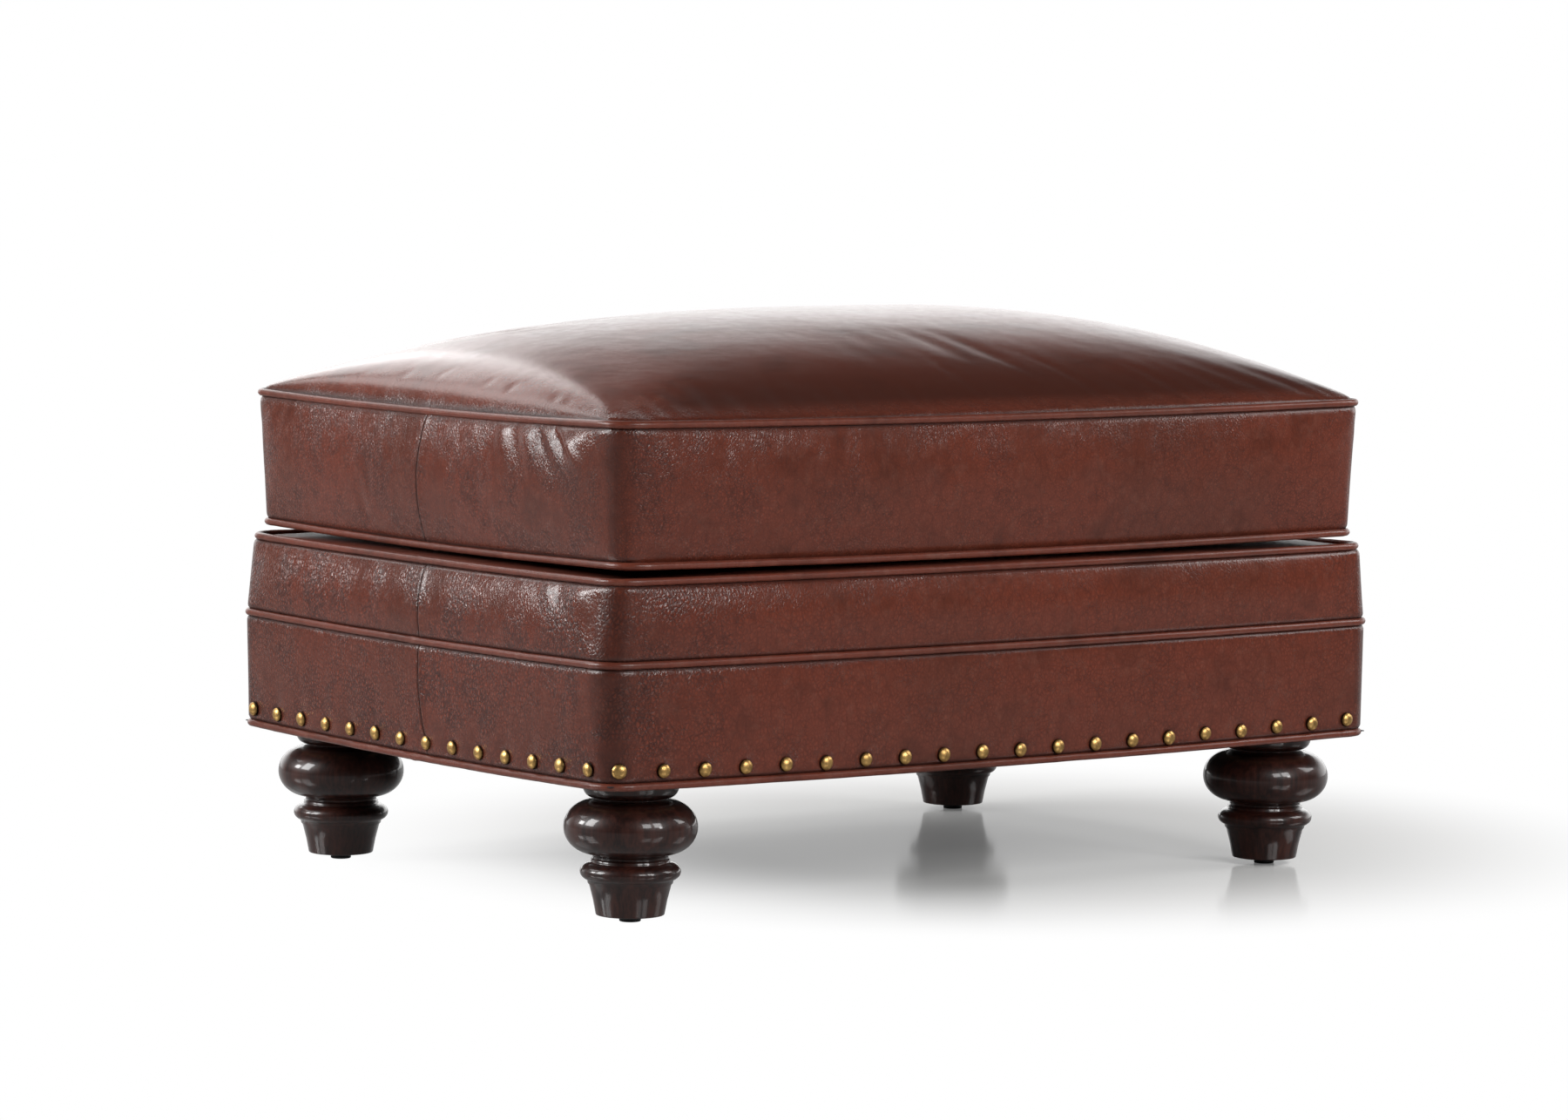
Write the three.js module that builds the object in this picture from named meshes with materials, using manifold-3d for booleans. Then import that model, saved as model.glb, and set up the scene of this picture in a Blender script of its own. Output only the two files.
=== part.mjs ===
/*
An upholstered leather footstool with a loose seat cushion on four turned bun feet.

Lengths are in millimetres and +Z is up. The origin is on the floor, under the middle of the stool.
X runs along the long side and the front is the long side towards -Y. The base is a hardwood frame
with sinuous springs, padding and two leather bands; the cushion is a boxed, welted cover over foam.
*/

import * as THREE from 'three';
import { mergeVertices } from 'three/addons/utils/BufferGeometryUtils.js';
import Module from 'manifold-3d';

const wasm = await Module();
wasm.setup();

// Overall plan, measured between the centre lines of the deck welt
const deck_length = 759;
const deck_depth = 553;
const corner_radius = 24;

// How far the other seams stand out from the deck welt, at the short ends and at the long sides
const middle_seam_end_out = 8;
const middle_seam_side_out = 1.5;
const bottom_edge_end_out = 6;
const bottom_edge_side_out = 1;
const cushion_top_end_in = 2.5;
const cushion_top_side_in = 0.5;
const cushion_bottom_end_in = 9;
const cushion_bottom_side_in = 1;

// Heights, stacked from the floor
const glide_height = 5;
const lower_band_height = 93.5;
const upper_band_height = 63.5;
const boxing_height = 108.5;
const cushion_crown = 77;
const cushion_belly = 0.6;
const deck_crown = 8.2;

// Leather, welts and the give in the panels
const leather = 2;
const welt_diameter = 6;
const clearance = 0.3;
const seam_stand = 1.5;
const boxing_bulge = 4;
const upper_band_bulge = 3;
const lower_band_bulge = 1.5;
const welt_drop = 1.5;
const cushion_corner_lift = 3;
const cushion_draw_in = 3;
const eased_edge = 1;

// Decorative nails along the bottom edge
const nail_diameter = 11;
const nail_dome = 3.6;
const nail_rise = 12.5;
const nail_embed = 1.2;
const nails_on_long_side = 20;
const nails_on_short_side = 14;
const long_row_starts_in = 11;
const long_row_ends_in = 27.5;
const short_row_ends_in = 25.5;

// Hardwood frame
const rail_thickness = 25;
const lower_padding_thickness = 12;
const stretcher_width = 38;
const stretcher_height = 48;
const block_leg = 96;
const block_tip = 18;
const block_height = 45;

// Turned feet, at their distance from the deck corners
const foot_inset_end = 56;
const foot_inset_side = 60;
const bulb_diameter = 105;
const flange_diameter = 78;
const neck_diameter = 59;
const ring_diameter = 79;
const cone_top_diameter = 65;
const cone_foot_diameter = 54;
const cone_height = 25;
const ring_height = 16;
const lower_neck_height = 7;
const bulb_height = 42;
const flare_height = 12.4;
const flange_edge = 7;

// Glides, hanger bolts and tee nuts
const glide_diameter = 17;
const glide_chamfer = 1.2;
const glide_nail_diameter = 3;
const glide_nail_length = 14;
const bolt_diameter = 8;
const bolt_in_foot = 38;
const bolt_over_nut = 6;
const nut_flange_diameter = 22;
const nut_flange_thickness = 1.6;
const nut_barrel_diameter = 11;
const nut_barrel_length = 12;

// Sinuous springs and their clips
const spring_count = 5;
const spring_pitch = 128;
const spring_wire = 4;
const spring_width = 50;
const spring_bars = 15;
const spring_arch = 12;
const spring_bar_inset = 6;
const clip_width = 18;
const clip_steel = 1.5;
const clip_reach = 5.5;

// Layers over the springs
const insulator_thickness = 3;
const insulator_margin = 6;
const deck_pad_edge = 11.7;

// Layers in the cushion
const lower_wrap_thickness = 6;
const upper_wrap_edge = 6.2;
const fill_ease = 1;

// Dust cover under the frame, and how far every cut runs past what it cuts
const dust_cover_thickness = 1;
const cut_overrun = 20;

// How finely the round forms are faceted
const corner_steps = 4;
const side_steps = 4;
const foot_sides = 18;
const cone_ring_steps = 3;
const bulb_steps = 7;
const flare_steps = 2;
const welt_sides = 6;
const nail_sides = 6;
const bore_sides = 10;
const wire_steps = 2;
const insulator_steps = 8;

// How the crowns fall away along the length and along the depth, and how much rounder their inner rings are
const crown_length_power = 2.7;
const crown_length_edge_power = 0.36;
const crown_depth_power = 2.4;
const crown_depth_edge_power = 0.7;
const oval_power = 4;

// How far the crest of the cushion's top lies off its middle, towards the back right corner
const crown_length_lean_share = 0.22;
const crown_depth_lean_share = 0.16;

// Where the stations of each surface lie, as shares of the way across or up it
const crown_shares = [0, 0.3, 0.55, 0.74, 0.87, 0.95, 0.985, 1];
const deck_shares = [0, 0.5, 0.8, 0.93, 1];
const cushion_bottom_shares = [0, 0.6, 1];
const boxing_shares = [0, 0.18, 0.5, 0.82, 1];
const upper_band_shares = [0, 0.25, 0.6, 0.85, 1];
const lower_band_middle_share = 0.45;
const round_turn_share = 0.93;
const nail_shoulder_share = 0.25;
const nail_haunch_share = 0.78;
const spring_bend_share = 0.25;

// Heights worked out from the stack
const welt_radius = welt_diameter / 2;
const foot_height = cone_height + ring_height + lower_neck_height + bulb_height + flare_height + flange_edge;
const foot_bottom = glide_height + clearance;
const foot_top = foot_bottom + foot_height;
const frame_bottom = foot_top + clearance;
const bottom_edge_height = frame_bottom - welt_drop;
const middle_seam_height = bottom_edge_height + lower_band_height;
const deck_seam_height = middle_seam_height + upper_band_height;
const cushion_bottom_height = deck_seam_height + deck_crown + clearance + leather / 2 - cushion_belly;
const cushion_top_height = cushion_bottom_height + boxing_height;

/** A seam line: the plan that its welt follows, with its height, corner lift and draw-in. */
function seam(end_out, side_out, height, lift = 0, drawn = 0) {
  return {
    half_length: deck_length / 2 + end_out,
    half_depth: deck_depth / 2 + side_out,
    radius: corner_radius,
    height,
    lift,
    drawn,
    out: 0,
    share: 1,
  };
}

const cushion_top = seam(
  -cushion_top_end_in, -cushion_top_side_in, cushion_top_height, cushion_corner_lift, cushion_draw_in,
);
const cushion_bottom = seam(
  -cushion_bottom_end_in, -cushion_bottom_side_in, cushion_bottom_height, cushion_corner_lift, cushion_draw_in,
);
const deck_seam = seam(0, 0, deck_seam_height);
const middle_seam = seam(middle_seam_end_out, middle_seam_side_out, middle_seam_height);
const bottom_edge = seam(bottom_edge_end_out, bottom_edge_side_out, bottom_edge_height);

// The frame fits inside the lower band with its padding, and the springs and the deck pad lie over it
const frame_set_in = seam_stand - leather - lower_padding_thickness - 2 * clearance;
const frame_half_length = bottom_edge.half_length + frame_set_in;
const frame_half_depth = bottom_edge.half_depth + frame_set_in;
const pad_bottom = deck_seam_height - leather - clearance - deck_pad_edge;
const insulator_low = pad_bottom - clearance - spring_arch - insulator_thickness;
const spring_base = insulator_low - clearance - spring_wire / 2;
const frame_top = spring_base - spring_wire / 2 - clearance - clip_steel;

/** A station moved outwards by `out` and upwards by `up`, or scaled in towards the middle by `share`. */
function moved(station, out, up = 0, share = 1) {
  return { ...station, out: station.out + out, height: station.height + up, share };
}

/** A station part way up from one seam to another, standing out by a bulge that is fullest half way. */
function between(low, high, share, bulge) {
  const mix = (a, b) => THREE.MathUtils.lerp(a, b, share);
  const fullness = 4 * share * (1 - share);
  return {
    ...low,
    half_length: mix(low.half_length, high.half_length),
    half_depth: mix(low.half_depth, high.half_depth),
    height: mix(low.height, high.height),
    drawn: mix(low.drawn, high.drawn) * (1 - fullness),
    out: mix(low.out, high.out) + bulge * fullness,
  };
}

/** The columns of a rounded rectangle, anticlockwise from the back right corner. */
function outlineColumns() {
  const columns = [];
  for (let quarter = 0; quarter < 4; quarter += 1) {
    for (let step = 0; step <= corner_steps; step += 1) {
      columns.push({ quarter, turn_share: step / corner_steps, side_share: 0 });
    }
    for (let step = 1; step < side_steps; step += 1) {
      columns.push({ quarter, turn_share: 1, side_share: step / side_steps });
    }
  }
  return columns;
}

const columns = outlineColumns();

/** A point on a corner arc of the station's plan. */
function cornerPoint(station, quarter, turn_share) {
  const angle = (quarter + turn_share) * Math.PI / 2;
  const across = quarter === 0 || quarter === 3 ? 1 : -1;
  const along = quarter < 2 ? 1 : -1;
  const radius = Math.max(station.radius + station.out, eased_edge);
  const x = across * (station.half_length + station.out - radius) + radius * Math.cos(angle);
  const y = along * (station.half_depth + station.out - radius) + radius * Math.sin(angle);
  return new THREE.Vector2(x, y);
}

/** Where a column meets a station: on the plan itself, or on a smaller and rounder one for a share below 1. */
function columnPoint(station, column) {
  const point = cornerPoint(station, column.quarter, column.turn_share);
  let cornerness = 1;
  if (column.side_share > 0) {
    const next = cornerPoint(station, (column.quarter + 1) % 4, 0);
    const inward = new THREE.Vector2(next.y - point.y, point.x - next.x).normalize().negate();
    cornerness = (2 * column.side_share - 1) ** 2;
    point.lerp(next, column.side_share).addScaledVector(inward, station.drawn * (1 - cornerness));
  }
  if (station.share < 1) {
    const half_length = station.half_length + station.out;
    const half_depth = station.half_depth + station.out;
    const angle = Math.atan2(point.y / half_depth, point.x / half_length);
    const oval = new THREE.Vector2(half_length * Math.cos(angle), half_depth * Math.sin(angle));
    point.lerp(oval, 1 - station.share ** oval_power).multiplyScalar(station.share);
  }
  const lift = station.lift * cornerness * station.share ** 2;
  return new THREE.Vector3(point.x, point.y, station.height + lift + crownRise(station, point));
}

/** How far a crowned station rises above its rim: full in the middle, and nothing at the rim itself. */
function crownRise(station, point) {
  if (!station.crown || station.share === 1) {
    return 0;
  }
  const fall = (place, lean, power, edge_power) => {
    const leaned = place - lean * (1 - place ** 2);
    return Math.max(1 - Math.abs(leaned) ** power, 0) ** edge_power;
  };
  const lean = station.leans ? 1 : 0;
  const across = fall(
    point.x / (station.half_length + station.out), lean * crown_length_lean_share,
    crown_length_power, crown_length_edge_power,
  );
  const along = fall(
    point.y / (station.half_depth + station.out), lean * crown_depth_lean_share,
    crown_depth_power, crown_depth_edge_power,
  );
  return station.crown * across * along;
}

/** A profile of stations turned as on a lathe, and drawn out from the round to the rounded rectangle. */
function drawnOut(stations) {
  const profile = stations.map((station) => new THREE.Vector2(station.share, station.height));
  const geometry = new THREE.LatheGeometry(profile, columns.length);
  const position = geometry.getAttribute('position');
  for (let turn = 0; turn <= columns.length; turn += 1) {
    stations.forEach((station, row) => {
      const point = columnPoint(station, columns[turn % columns.length]);
      position.setXYZ(turn * stations.length + row, point.x, point.y, point.z);
    });
  }
  geometry.setIndex(splitQuads(position, stations.length));
  return geometry;
}

/** Two triangles for each quad between the columns, parted along its shorter diagonal. */
function splitQuads(position, rows) {
  const at = (index) => new THREE.Vector3().fromBufferAttribute(position, index);
  const faces = [];
  for (let turn = 0; turn < columns.length; turn += 1) {
    for (let row = 0; row < rows - 1; row += 1) {
      const here = turn * rows + row;
      const [a, b, c, d] = [here, here + rows, here + rows + 1, here + 1];
      if (at(a).distanceTo(at(c)) < at(b).distanceTo(at(d))) {
        faces.push(a, b, c, a, c, d);
      } else {
        faces.push(a, b, d, c, d, b);
      }
    }
  }
  const joined = [];
  for (let first = 0; first < faces.length; first += 3) {
    const [p, q, r] = faces.slice(first, first + 3).map(at);
    if (p.distanceTo(q) > 0 && q.distanceTo(r) > 0 && r.distanceTo(p) > 0) {
      joined.push(faces[first], faces[first + 1], faces[first + 2]);
    }
  }
  return joined;
}

/** A closed ring whose profile runs up its outer stations and back down its inner ones. */
function ring(outer, inner) {
  const loop = [...outer, ...inner.slice().reverse()];
  return drawnOut([...loop, loop[0]]);
}

/** A closed panel between a lower and an upper set of stations, which both run from the middle to the rim. */
function panel(lower, upper) {
  return drawnOut([...lower, ...upper.slice().reverse()]);
}

/** A ring of round section along a seam. */
function welt(line) {
  const stations = [];
  for (let side = 0; side <= welt_sides; side += 1) {
    const angle = side / welt_sides * 2 * Math.PI;
    stations.push(moved(line, welt_radius * Math.cos(angle), welt_radius * Math.sin(angle)));
  }
  return drawnOut(stations);
}

/** The stations of a crowned surface from the middle to the rim. */
function crowned(rim, crown, shares = crown_shares) {
  return shares.map((share) => ({ ...rim, share, crown }));
}

/** Turns a geometry into a solid that can be joined and cut. */
function solid(geometry) {
  const bare = geometry.clone();
  bare.deleteAttribute('normal');
  bare.deleteAttribute('uv');
  const merged = mergeVertices(bare);
  return new wasm.Manifold(new wasm.Mesh({
    numProp: 3,
    vertProperties: new Float32Array(merged.getAttribute('position').array),
    triVerts: new Uint32Array(merged.getIndex().array),
  }));
}

/** Turns a solid back into a geometry. */
function shape(body) {
  const mesh = body.getMesh();
  const geometry = new THREE.BufferGeometry();
  geometry.setAttribute('position', new THREE.BufferAttribute(mesh.vertProperties, 3));
  geometry.setIndex(new THREE.BufferAttribute(mesh.triVerts, 1));
  geometry.computeVertexNormals();
  return geometry;
}

/** A cylinder standing on +Z, from one height to another. */
function post(diameter, low, high, sides = bore_sides) {
  const height = high - low;
  const geometry = new THREE.CylinderGeometry(diameter / 2, diameter / 2, height, sides);
  return geometry.rotateX(Math.PI / 2).translate(0, 0, low + height / 2);
}

/** A turned piece, from a profile of radius and height. */
function turned(points, sides) {
  const profile = points.map(([radius, height]) => new THREE.Vector2(radius, height));
  return new THREE.LatheGeometry(profile, sides).rotateX(Math.PI / 2);
}

/** A block between two corners. */
function block(low, high) {
  const size = high.map((value, axis) => value - low[axis]);
  const middle = high.map((value, axis) => (value + low[axis]) / 2);
  return new THREE.BoxGeometry(...size).translate(...middle);
}

const finish = {
  leather: { color: 0x5c3228, roughness: 0.38, metalness: 0 },
  welt: { color: 0x6b3d31, roughness: 0.35, metalness: 0 },
  foot: { color: 0x2c120f, roughness: 0.18, metalness: 0 },
  hardwood: { color: 0xc8a678, roughness: 0.7, metalness: 0 },
  steel: { color: 0x8e9196, roughness: 0.35, metalness: 1 },
  foam: { color: 0xe9e2c8, roughness: 0.9, metalness: 0 },
  fibre: { color: 0xf3f1ea, roughness: 0.95, metalness: 0 },
  burlap: { color: 0xa98d62, roughness: 0.95, metalness: 0 },
  cambric: { color: 0x1b1b1c, roughness: 0.95, metalness: 0 },
  glide: { color: 0x151312, roughness: 0.5, metalness: 0 },
};

const stool = new THREE.Group();
const base = new THREE.Group();
const cushion = new THREE.Group();
stool.add(base, cushion);

/** Adds a named piece to a group. */
function add(group, name, geometry, look) {
  const mesh = new THREE.Mesh(geometry, new THREE.MeshStandardMaterial(look));
  mesh.name = name;
  group.add(mesh);
  return mesh;
}

const ends = [['left', -1], ['right', 1]];
const sides = [['front', -1], ['back', 1]];
const corners = sides.flatMap(([side, along]) => ends.map(([end, across]) => ({
  name: `${side}_${end}`, across, along,
})));
const foot_x = deck_length / 2 - foot_inset_end;
const foot_y = deck_depth / 2 - foot_inset_side;

// Hardwood frame: long rails front and back, short rails and a stretcher between them
const inner_half_length = frame_half_length - rail_thickness;
const inner_half_depth = frame_half_depth - rail_thickness;
const spring_bar_y = inner_half_depth + spring_bar_inset;

// Turns a side view drawn in Y and Z so that it is extruded along X
const along_x = new THREE.Matrix4().makeBasis(
  new THREE.Vector3(0, 1, 0), new THREE.Vector3(0, 0, 1), new THREE.Vector3(1, 0, 0),
);

/** The folded steel clip that holds the end bar of a spring on the rail, in its side view. */
function clipProfile() {
  const inner = spring_wire / 2 + clearance;
  const outer = inner + clip_steel;
  const profile = new THREE.Shape();
  profile.moveTo(-outer, -outer - clip_steel);
  profile.lineTo(clip_reach, -outer - clip_steel);
  profile.lineTo(clip_reach, -inner);
  profile.lineTo(-inner, -inner);
  profile.lineTo(-inner, inner);
  profile.lineTo(outer, inner);
  profile.lineTo(outer, outer);
  profile.lineTo(-outer, outer);
  profile.closePath();
  return profile;
}

/** A long rail with its row of spring clips. */
function longRail(along) {
  const rail_low = [-frame_half_length, inner_half_depth, frame_bottom];
  const rail_high = [frame_half_length, frame_half_depth, frame_top];
  let rail = solid(block(rail_low, rail_high));
  const clip = new THREE.ExtrudeGeometry(clipProfile(), { depth: clip_width, steps: 1, bevelEnabled: false });
  clip.applyMatrix4(along_x).translate(-clip_width / 2, spring_bar_y, spring_base);
  for (let index = 0; index < spring_count; index += 1) {
    const x = (index - (spring_count - 1) / 2) * spring_pitch;
    rail = rail.add(solid(clip.clone().translate(x, 0, 0)));
  }
  const geometry = shape(rail);
  return along > 0 ? geometry : geometry.rotateZ(Math.PI);
}

for (const [side, along] of sides) {
  add(base, `${side}_rail`, longRail(along), finish.hardwood);
}
for (const [end, across] of ends) {
  const low = [inner_half_length, -inner_half_depth + clearance, frame_bottom];
  const high = [frame_half_length, inner_half_depth - clearance, frame_top];
  const rail = block(low, high);
  add(base, `${end}_rail`, across > 0 ? rail : rail.rotateZ(Math.PI), finish.hardwood);
}
add(base, 'centre_stretcher', block(
  [-stretcher_width / 2, -inner_half_depth + clearance, frame_bottom],
  [stretcher_width / 2, inner_half_depth - clearance, frame_bottom + stretcher_height],
), finish.hardwood);

// Corner blocks, bored for the hanger bolts and let in for the tee nuts
const block_top = frame_bottom + block_height;
const bore_diameter = bolt_diameter + 2 * clearance;

/** A three-cornered glue block with its tips cut off, for the back right corner. */
function cornerBlock() {
  const x = inner_half_length - clearance;
  const y = inner_half_depth - clearance;
  const outline = new THREE.Shape([
    new THREE.Vector2(x, y),
    new THREE.Vector2(x - block_leg, y),
    new THREE.Vector2(x - block_leg, y - block_tip),
    new THREE.Vector2(x - block_tip, y - block_leg),
    new THREE.Vector2(x, y - block_leg),
  ]);
  const body = new THREE.ExtrudeGeometry(outline, { depth: block_height, bevelEnabled: false });
  const bore = post(bore_diameter, frame_bottom - cut_overrun, block_top + cut_overrun);
  const seat = post(nut_barrel_diameter + 2 * clearance, block_top - nut_barrel_length - clearance,
    block_top + cut_overrun);
  return shape(solid(body.translate(0, 0, frame_bottom))
    .subtract(solid(bore.translate(foot_x, foot_y, 0)))
    .subtract(solid(seat.translate(foot_x, foot_y, 0))));
}

/** Mirrors a piece made for the back right corner into another corner. */
function intoCorner(geometry, across, along) {
  const mirrored = geometry.clone().scale(across, along, 1);
  if (across * along < 0) {
    const index = mirrored.getIndex();
    for (let first = 0; first < index.count; first += 3) {
      const kept = index.getX(first);
      index.setX(first, index.getX(first + 1));
      index.setX(first + 1, kept);
    }
    mirrored.computeVertexNormals();
  }
  return mirrored;
}

for (const corner of corners) {
  const piece = intoCorner(cornerBlock(), corner.across, corner.along);
  add(base, `corner_block_${corner.name}`, piece, finish.hardwood);
}

// Turned foot: tapered cone, ring, neck, round bulb, upper neck and flange
/** Points round the side of a bead or a bulb, between its low and its high neck. */
function roundProfile(neck, low, high, fullness, steps) {
  const points = [];
  for (let step = 0; step <= steps; step += 1) {
    const angle = (2 * step / steps - 1) * round_turn_share * Math.PI / 2;
    points.push([neck + fullness * Math.cos(angle), (low + high) / 2 + (high - low) / 2 * Math.sin(angle)]);
  }
  return points;
}

/** Points of the hollow bowl that opens from the upper neck to the flange. */
function flareProfile(neck, low, flange, high) {
  const points = [];
  for (let step = 0; step <= flare_steps; step += 1) {
    const angle = step / flare_steps * Math.PI / 2;
    points.push([neck + (flange - neck) * Math.sin(angle), high - (high - low) * Math.cos(angle)]);
  }
  return points;
}

/** The profile of the foot from the middle of its underside to the middle of its top. */
function footProfile() {
  const ring_low = foot_bottom + cone_height;
  const ring_high = ring_low + ring_height;
  const bulb_low = ring_high + lower_neck_height;
  const bulb_high = bulb_low + bulb_height;
  const cone_foot = cone_foot_diameter / 2;
  const cone_top = cone_top_diameter / 2;
  const neck = neck_diameter / 2;
  const flange = flange_diameter / 2;
  const edge = eased_edge;
  return [
    [0, foot_bottom],
    [cone_foot - edge, foot_bottom],
    [cone_foot, foot_bottom + edge],
    [cone_top, ring_low - edge],
    ...roundProfile(cone_top, ring_low, ring_high, ring_diameter / 2 - cone_top, cone_ring_steps),
    [neck, ring_high + edge],
    [neck, bulb_low - edge],
    ...roundProfile(neck, bulb_low, bulb_high, bulb_diameter / 2 - neck, bulb_steps),
    ...flareProfile(neck, bulb_high + edge, flange, foot_top - flange_edge),
    [flange, foot_top - edge],
    [flange - edge, foot_top],
    [0, foot_top],
  ];
}

const foot_bore = solid(post(bore_diameter, foot_top - bolt_in_foot - clearance, foot_top + cut_overrun));
const glide_bore = solid(post(
  glide_nail_diameter + 2 * clearance, foot_bottom - cut_overrun, foot_bottom + glide_nail_length + clearance,
));
const foot_shape = shape(solid(turned(footProfile(), foot_sides)).subtract(foot_bore).subtract(glide_bore));

const glide_radius = glide_diameter / 2;
const glide_shape = turned([
  [0, 0],
  [glide_radius - glide_chamfer, 0],
  [glide_radius, glide_chamfer],
  [glide_radius, glide_height],
  [glide_nail_diameter / 2, glide_height],
  [glide_nail_diameter / 2, foot_bottom + glide_nail_length - glide_nail_diameter / 2],
  [0, foot_bottom + glide_nail_length],
], bore_sides);

const bolt_shape = post(
  bolt_diameter, foot_top - bolt_in_foot, block_top + clearance + nut_flange_thickness + bolt_over_nut,
);
const nut_shape = turned([
  [bore_diameter / 2, block_top - nut_barrel_length],
  [nut_barrel_diameter / 2, block_top - nut_barrel_length],
  [nut_barrel_diameter / 2, block_top + clearance],
  [nut_flange_diameter / 2, block_top + clearance],
  [nut_flange_diameter / 2, block_top + clearance + nut_flange_thickness],
  [bore_diameter / 2, block_top + clearance + nut_flange_thickness],
  [bore_diameter / 2, block_top - nut_barrel_length],
], bore_sides);

for (const corner of corners) {
  const place = [corner.across * foot_x, corner.along * foot_y, 0];
  add(base, `foot_${corner.name}`, foot_shape.clone(), finish.foot).position.set(...place);
  add(base, `glide_${corner.name}`, glide_shape.clone(), finish.glide).position.set(...place);
  add(base, `hanger_bolt_${corner.name}`, bolt_shape.clone(), finish.steel).position.set(...place);
  add(base, `tee_nut_${corner.name}`, nut_shape.clone(), finish.steel).position.set(...place);
}

// Sinuous springs, clipped to the long rails and arched between them
/** A path through bent points, taken at the points themselves. */
class BentPath extends THREE.Curve {
  constructor(points) {
    super();
    this.points = points;
  }

  getPoint(share, target = new THREE.Vector3()) {
    const place = share * (this.points.length - 1);
    const index = Math.min(Math.floor(place), this.points.length - 2);
    return target.lerpVectors(this.points[index], this.points[index + 1], place - index);
  }

  getPointAt(share, target) {
    return this.getPoint(share, target);
  }

  getTangentAt(share, target = new THREE.Vector3()) {
    const index = Math.round(share * (this.points.length - 1));
    const before = this.points[Math.max(index - 1, 0)];
    const after = this.points[Math.min(index + 1, this.points.length - 1)];
    return target.subVectors(after, before).normalize();
  }
}

/** The route of a spring: straight bars, joined by bends at alternate ends. */
function springPath() {
  const points = [];
  const half_width = (spring_width - spring_wire) / 2;
  const bar_pitch = 2 * spring_bar_y / (spring_bars - 1);
  const bend = bar_pitch * spring_bend_share;
  const put = (x, y) => points.push(new THREE.Vector3(x, y, spring_arch * (1 - (y / spring_bar_y) ** 2)));
  for (let bar = 0; bar < spring_bars; bar += 1) {
    const side = bar % 2 === 0 ? 1 : -1;
    const y = -spring_bar_y + bar * bar_pitch;
    put(-side * (half_width - bend), y);
    put(side * (half_width - bend), y);
    if (bar < spring_bars - 1) {
      put(side * half_width, y + bend);
      put(side * half_width, y + bar_pitch - bend);
    }
  }
  return new BentPath(points);
}

const spring_path = springPath();
const wire_circle = new THREE.Path().absarc(0, 0, spring_wire / 2, 0, 2 * Math.PI);
const wire_section = new THREE.Shape(wire_circle.getPoints(wire_steps));
const spring_shape = new THREE.ExtrudeGeometry(wire_section, {
  steps: spring_path.points.length - 1, extrudePath: spring_path, bevelEnabled: false,
});
for (let index = 0; index < spring_count; index += 1) {
  const x = (index - (spring_count - 1) / 2) * spring_pitch;
  add(base, `sinuous_spring_${index + 1}`, spring_shape.clone(), finish.steel).position.set(x, 0, spring_base);
}

// Burlap over the springs, arched as they are
const insulator_length = 2 * (inner_half_length - insulator_margin);
const insulator_half = inner_half_depth - insulator_margin;

/** The side view of a sheet that lies over the arch of the springs. */
function archedSheet(half, low, thickness) {
  const under = [];
  const over = [];
  for (let step = 0; step <= insulator_steps; step += 1) {
    const y = half * (2 * step / insulator_steps - 1);
    const z = low + spring_arch * (1 - (y / spring_bar_y) ** 2);
    under.push(new THREE.Vector2(y, z));
    over.push(new THREE.Vector2(y, z + thickness));
  }
  return new THREE.Shape([...under, ...over.reverse()]);
}

add(base, 'burlap_insulator', new THREE.ExtrudeGeometry(
  archedSheet(insulator_half, insulator_low, insulator_thickness),
  { depth: insulator_length, bevelEnabled: false },
).applyMatrix4(along_x).translate(-insulator_length / 2, 0, 0), finish.burlap);

// Leather deck under the cushion, with its foam pad on the burlap
const deck_rim = moved(deck_seam, -welt_radius - clearance);
const roll_set_in = spring_bar_inset + clip_reach + clearance;
const roll_inner = {
  ...deck_rim,
  half_length: inner_half_length + roll_set_in,
  half_depth: inner_half_depth + roll_set_in,
  radius: eased_edge,
  out: 0,
};
const pad_rim = moved(roll_inner, -clearance, -leather - clearance);
add(base, 'deck_panel', panel(
  crowned(moved(deck_rim, 0, -leather), deck_crown, deck_shares),
  crowned(deck_rim, deck_crown, deck_shares),
), finish.leather);
add(base, 'deck_pad', panel(
  [{ ...pad_rim, height: pad_bottom, share: 0 }, { ...pad_rim, height: pad_bottom }],
  crowned(pad_rim, deck_crown, deck_shares),
), finish.foam);

// Leather bands round the base, each cut in two at the middle of the short sides
const lower_band_low = moved(bottom_edge, seam_stand, welt_radius + clearance);
const lower_band_high = moved(middle_seam, seam_stand, -welt_radius - clearance);
const lower_band_face = [
  lower_band_low,
  moved(bottom_edge, seam_stand, nail_rise),
  between(lower_band_low, lower_band_high, lower_band_middle_share, lower_band_bulge),
  lower_band_high,
];
const upper_band_low = moved(middle_seam, -welt_radius / 2, welt_radius + clearance);
const upper_band_high = moved(deck_seam, seam_stand, -welt_radius - clearance);
const upper_band_face = upper_band_shares.map(
  (share) => between(upper_band_low, upper_band_high, share, upper_band_bulge),
);

/** A skin of the leather's thickness behind a face, as one ring. */
function skin(face) {
  return solid(ring(face, face.map((station) => moved(station, -leather))));
}

/** The front or the back half of a ring, parted at the middle of the short sides. */
function half(body, along) {
  const reach = deck_length + cut_overrun;
  const gap = clearance / 2;
  const slab = along > 0
    ? block([-reach, gap, -cut_overrun], [reach, reach, reach])
    : block([-reach, -reach, -cut_overrun], [reach, -gap, reach]);
  return body.intersect(solid(slab));
}

/** A domed nail standing out along +X, with its shank side sunk into the leather. */
function nail() {
  const radius = nail_diameter / 2;
  const dome = turned([
    [0, -nail_embed],
    [radius, -nail_embed],
    [radius, nail_dome * nail_shoulder_share],
    [radius * Math.SQRT1_2, nail_dome * nail_haunch_share],
    [0, nail_dome],
  ], nail_sides);
  return dome.rotateY(Math.PI / 2);
}

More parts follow.
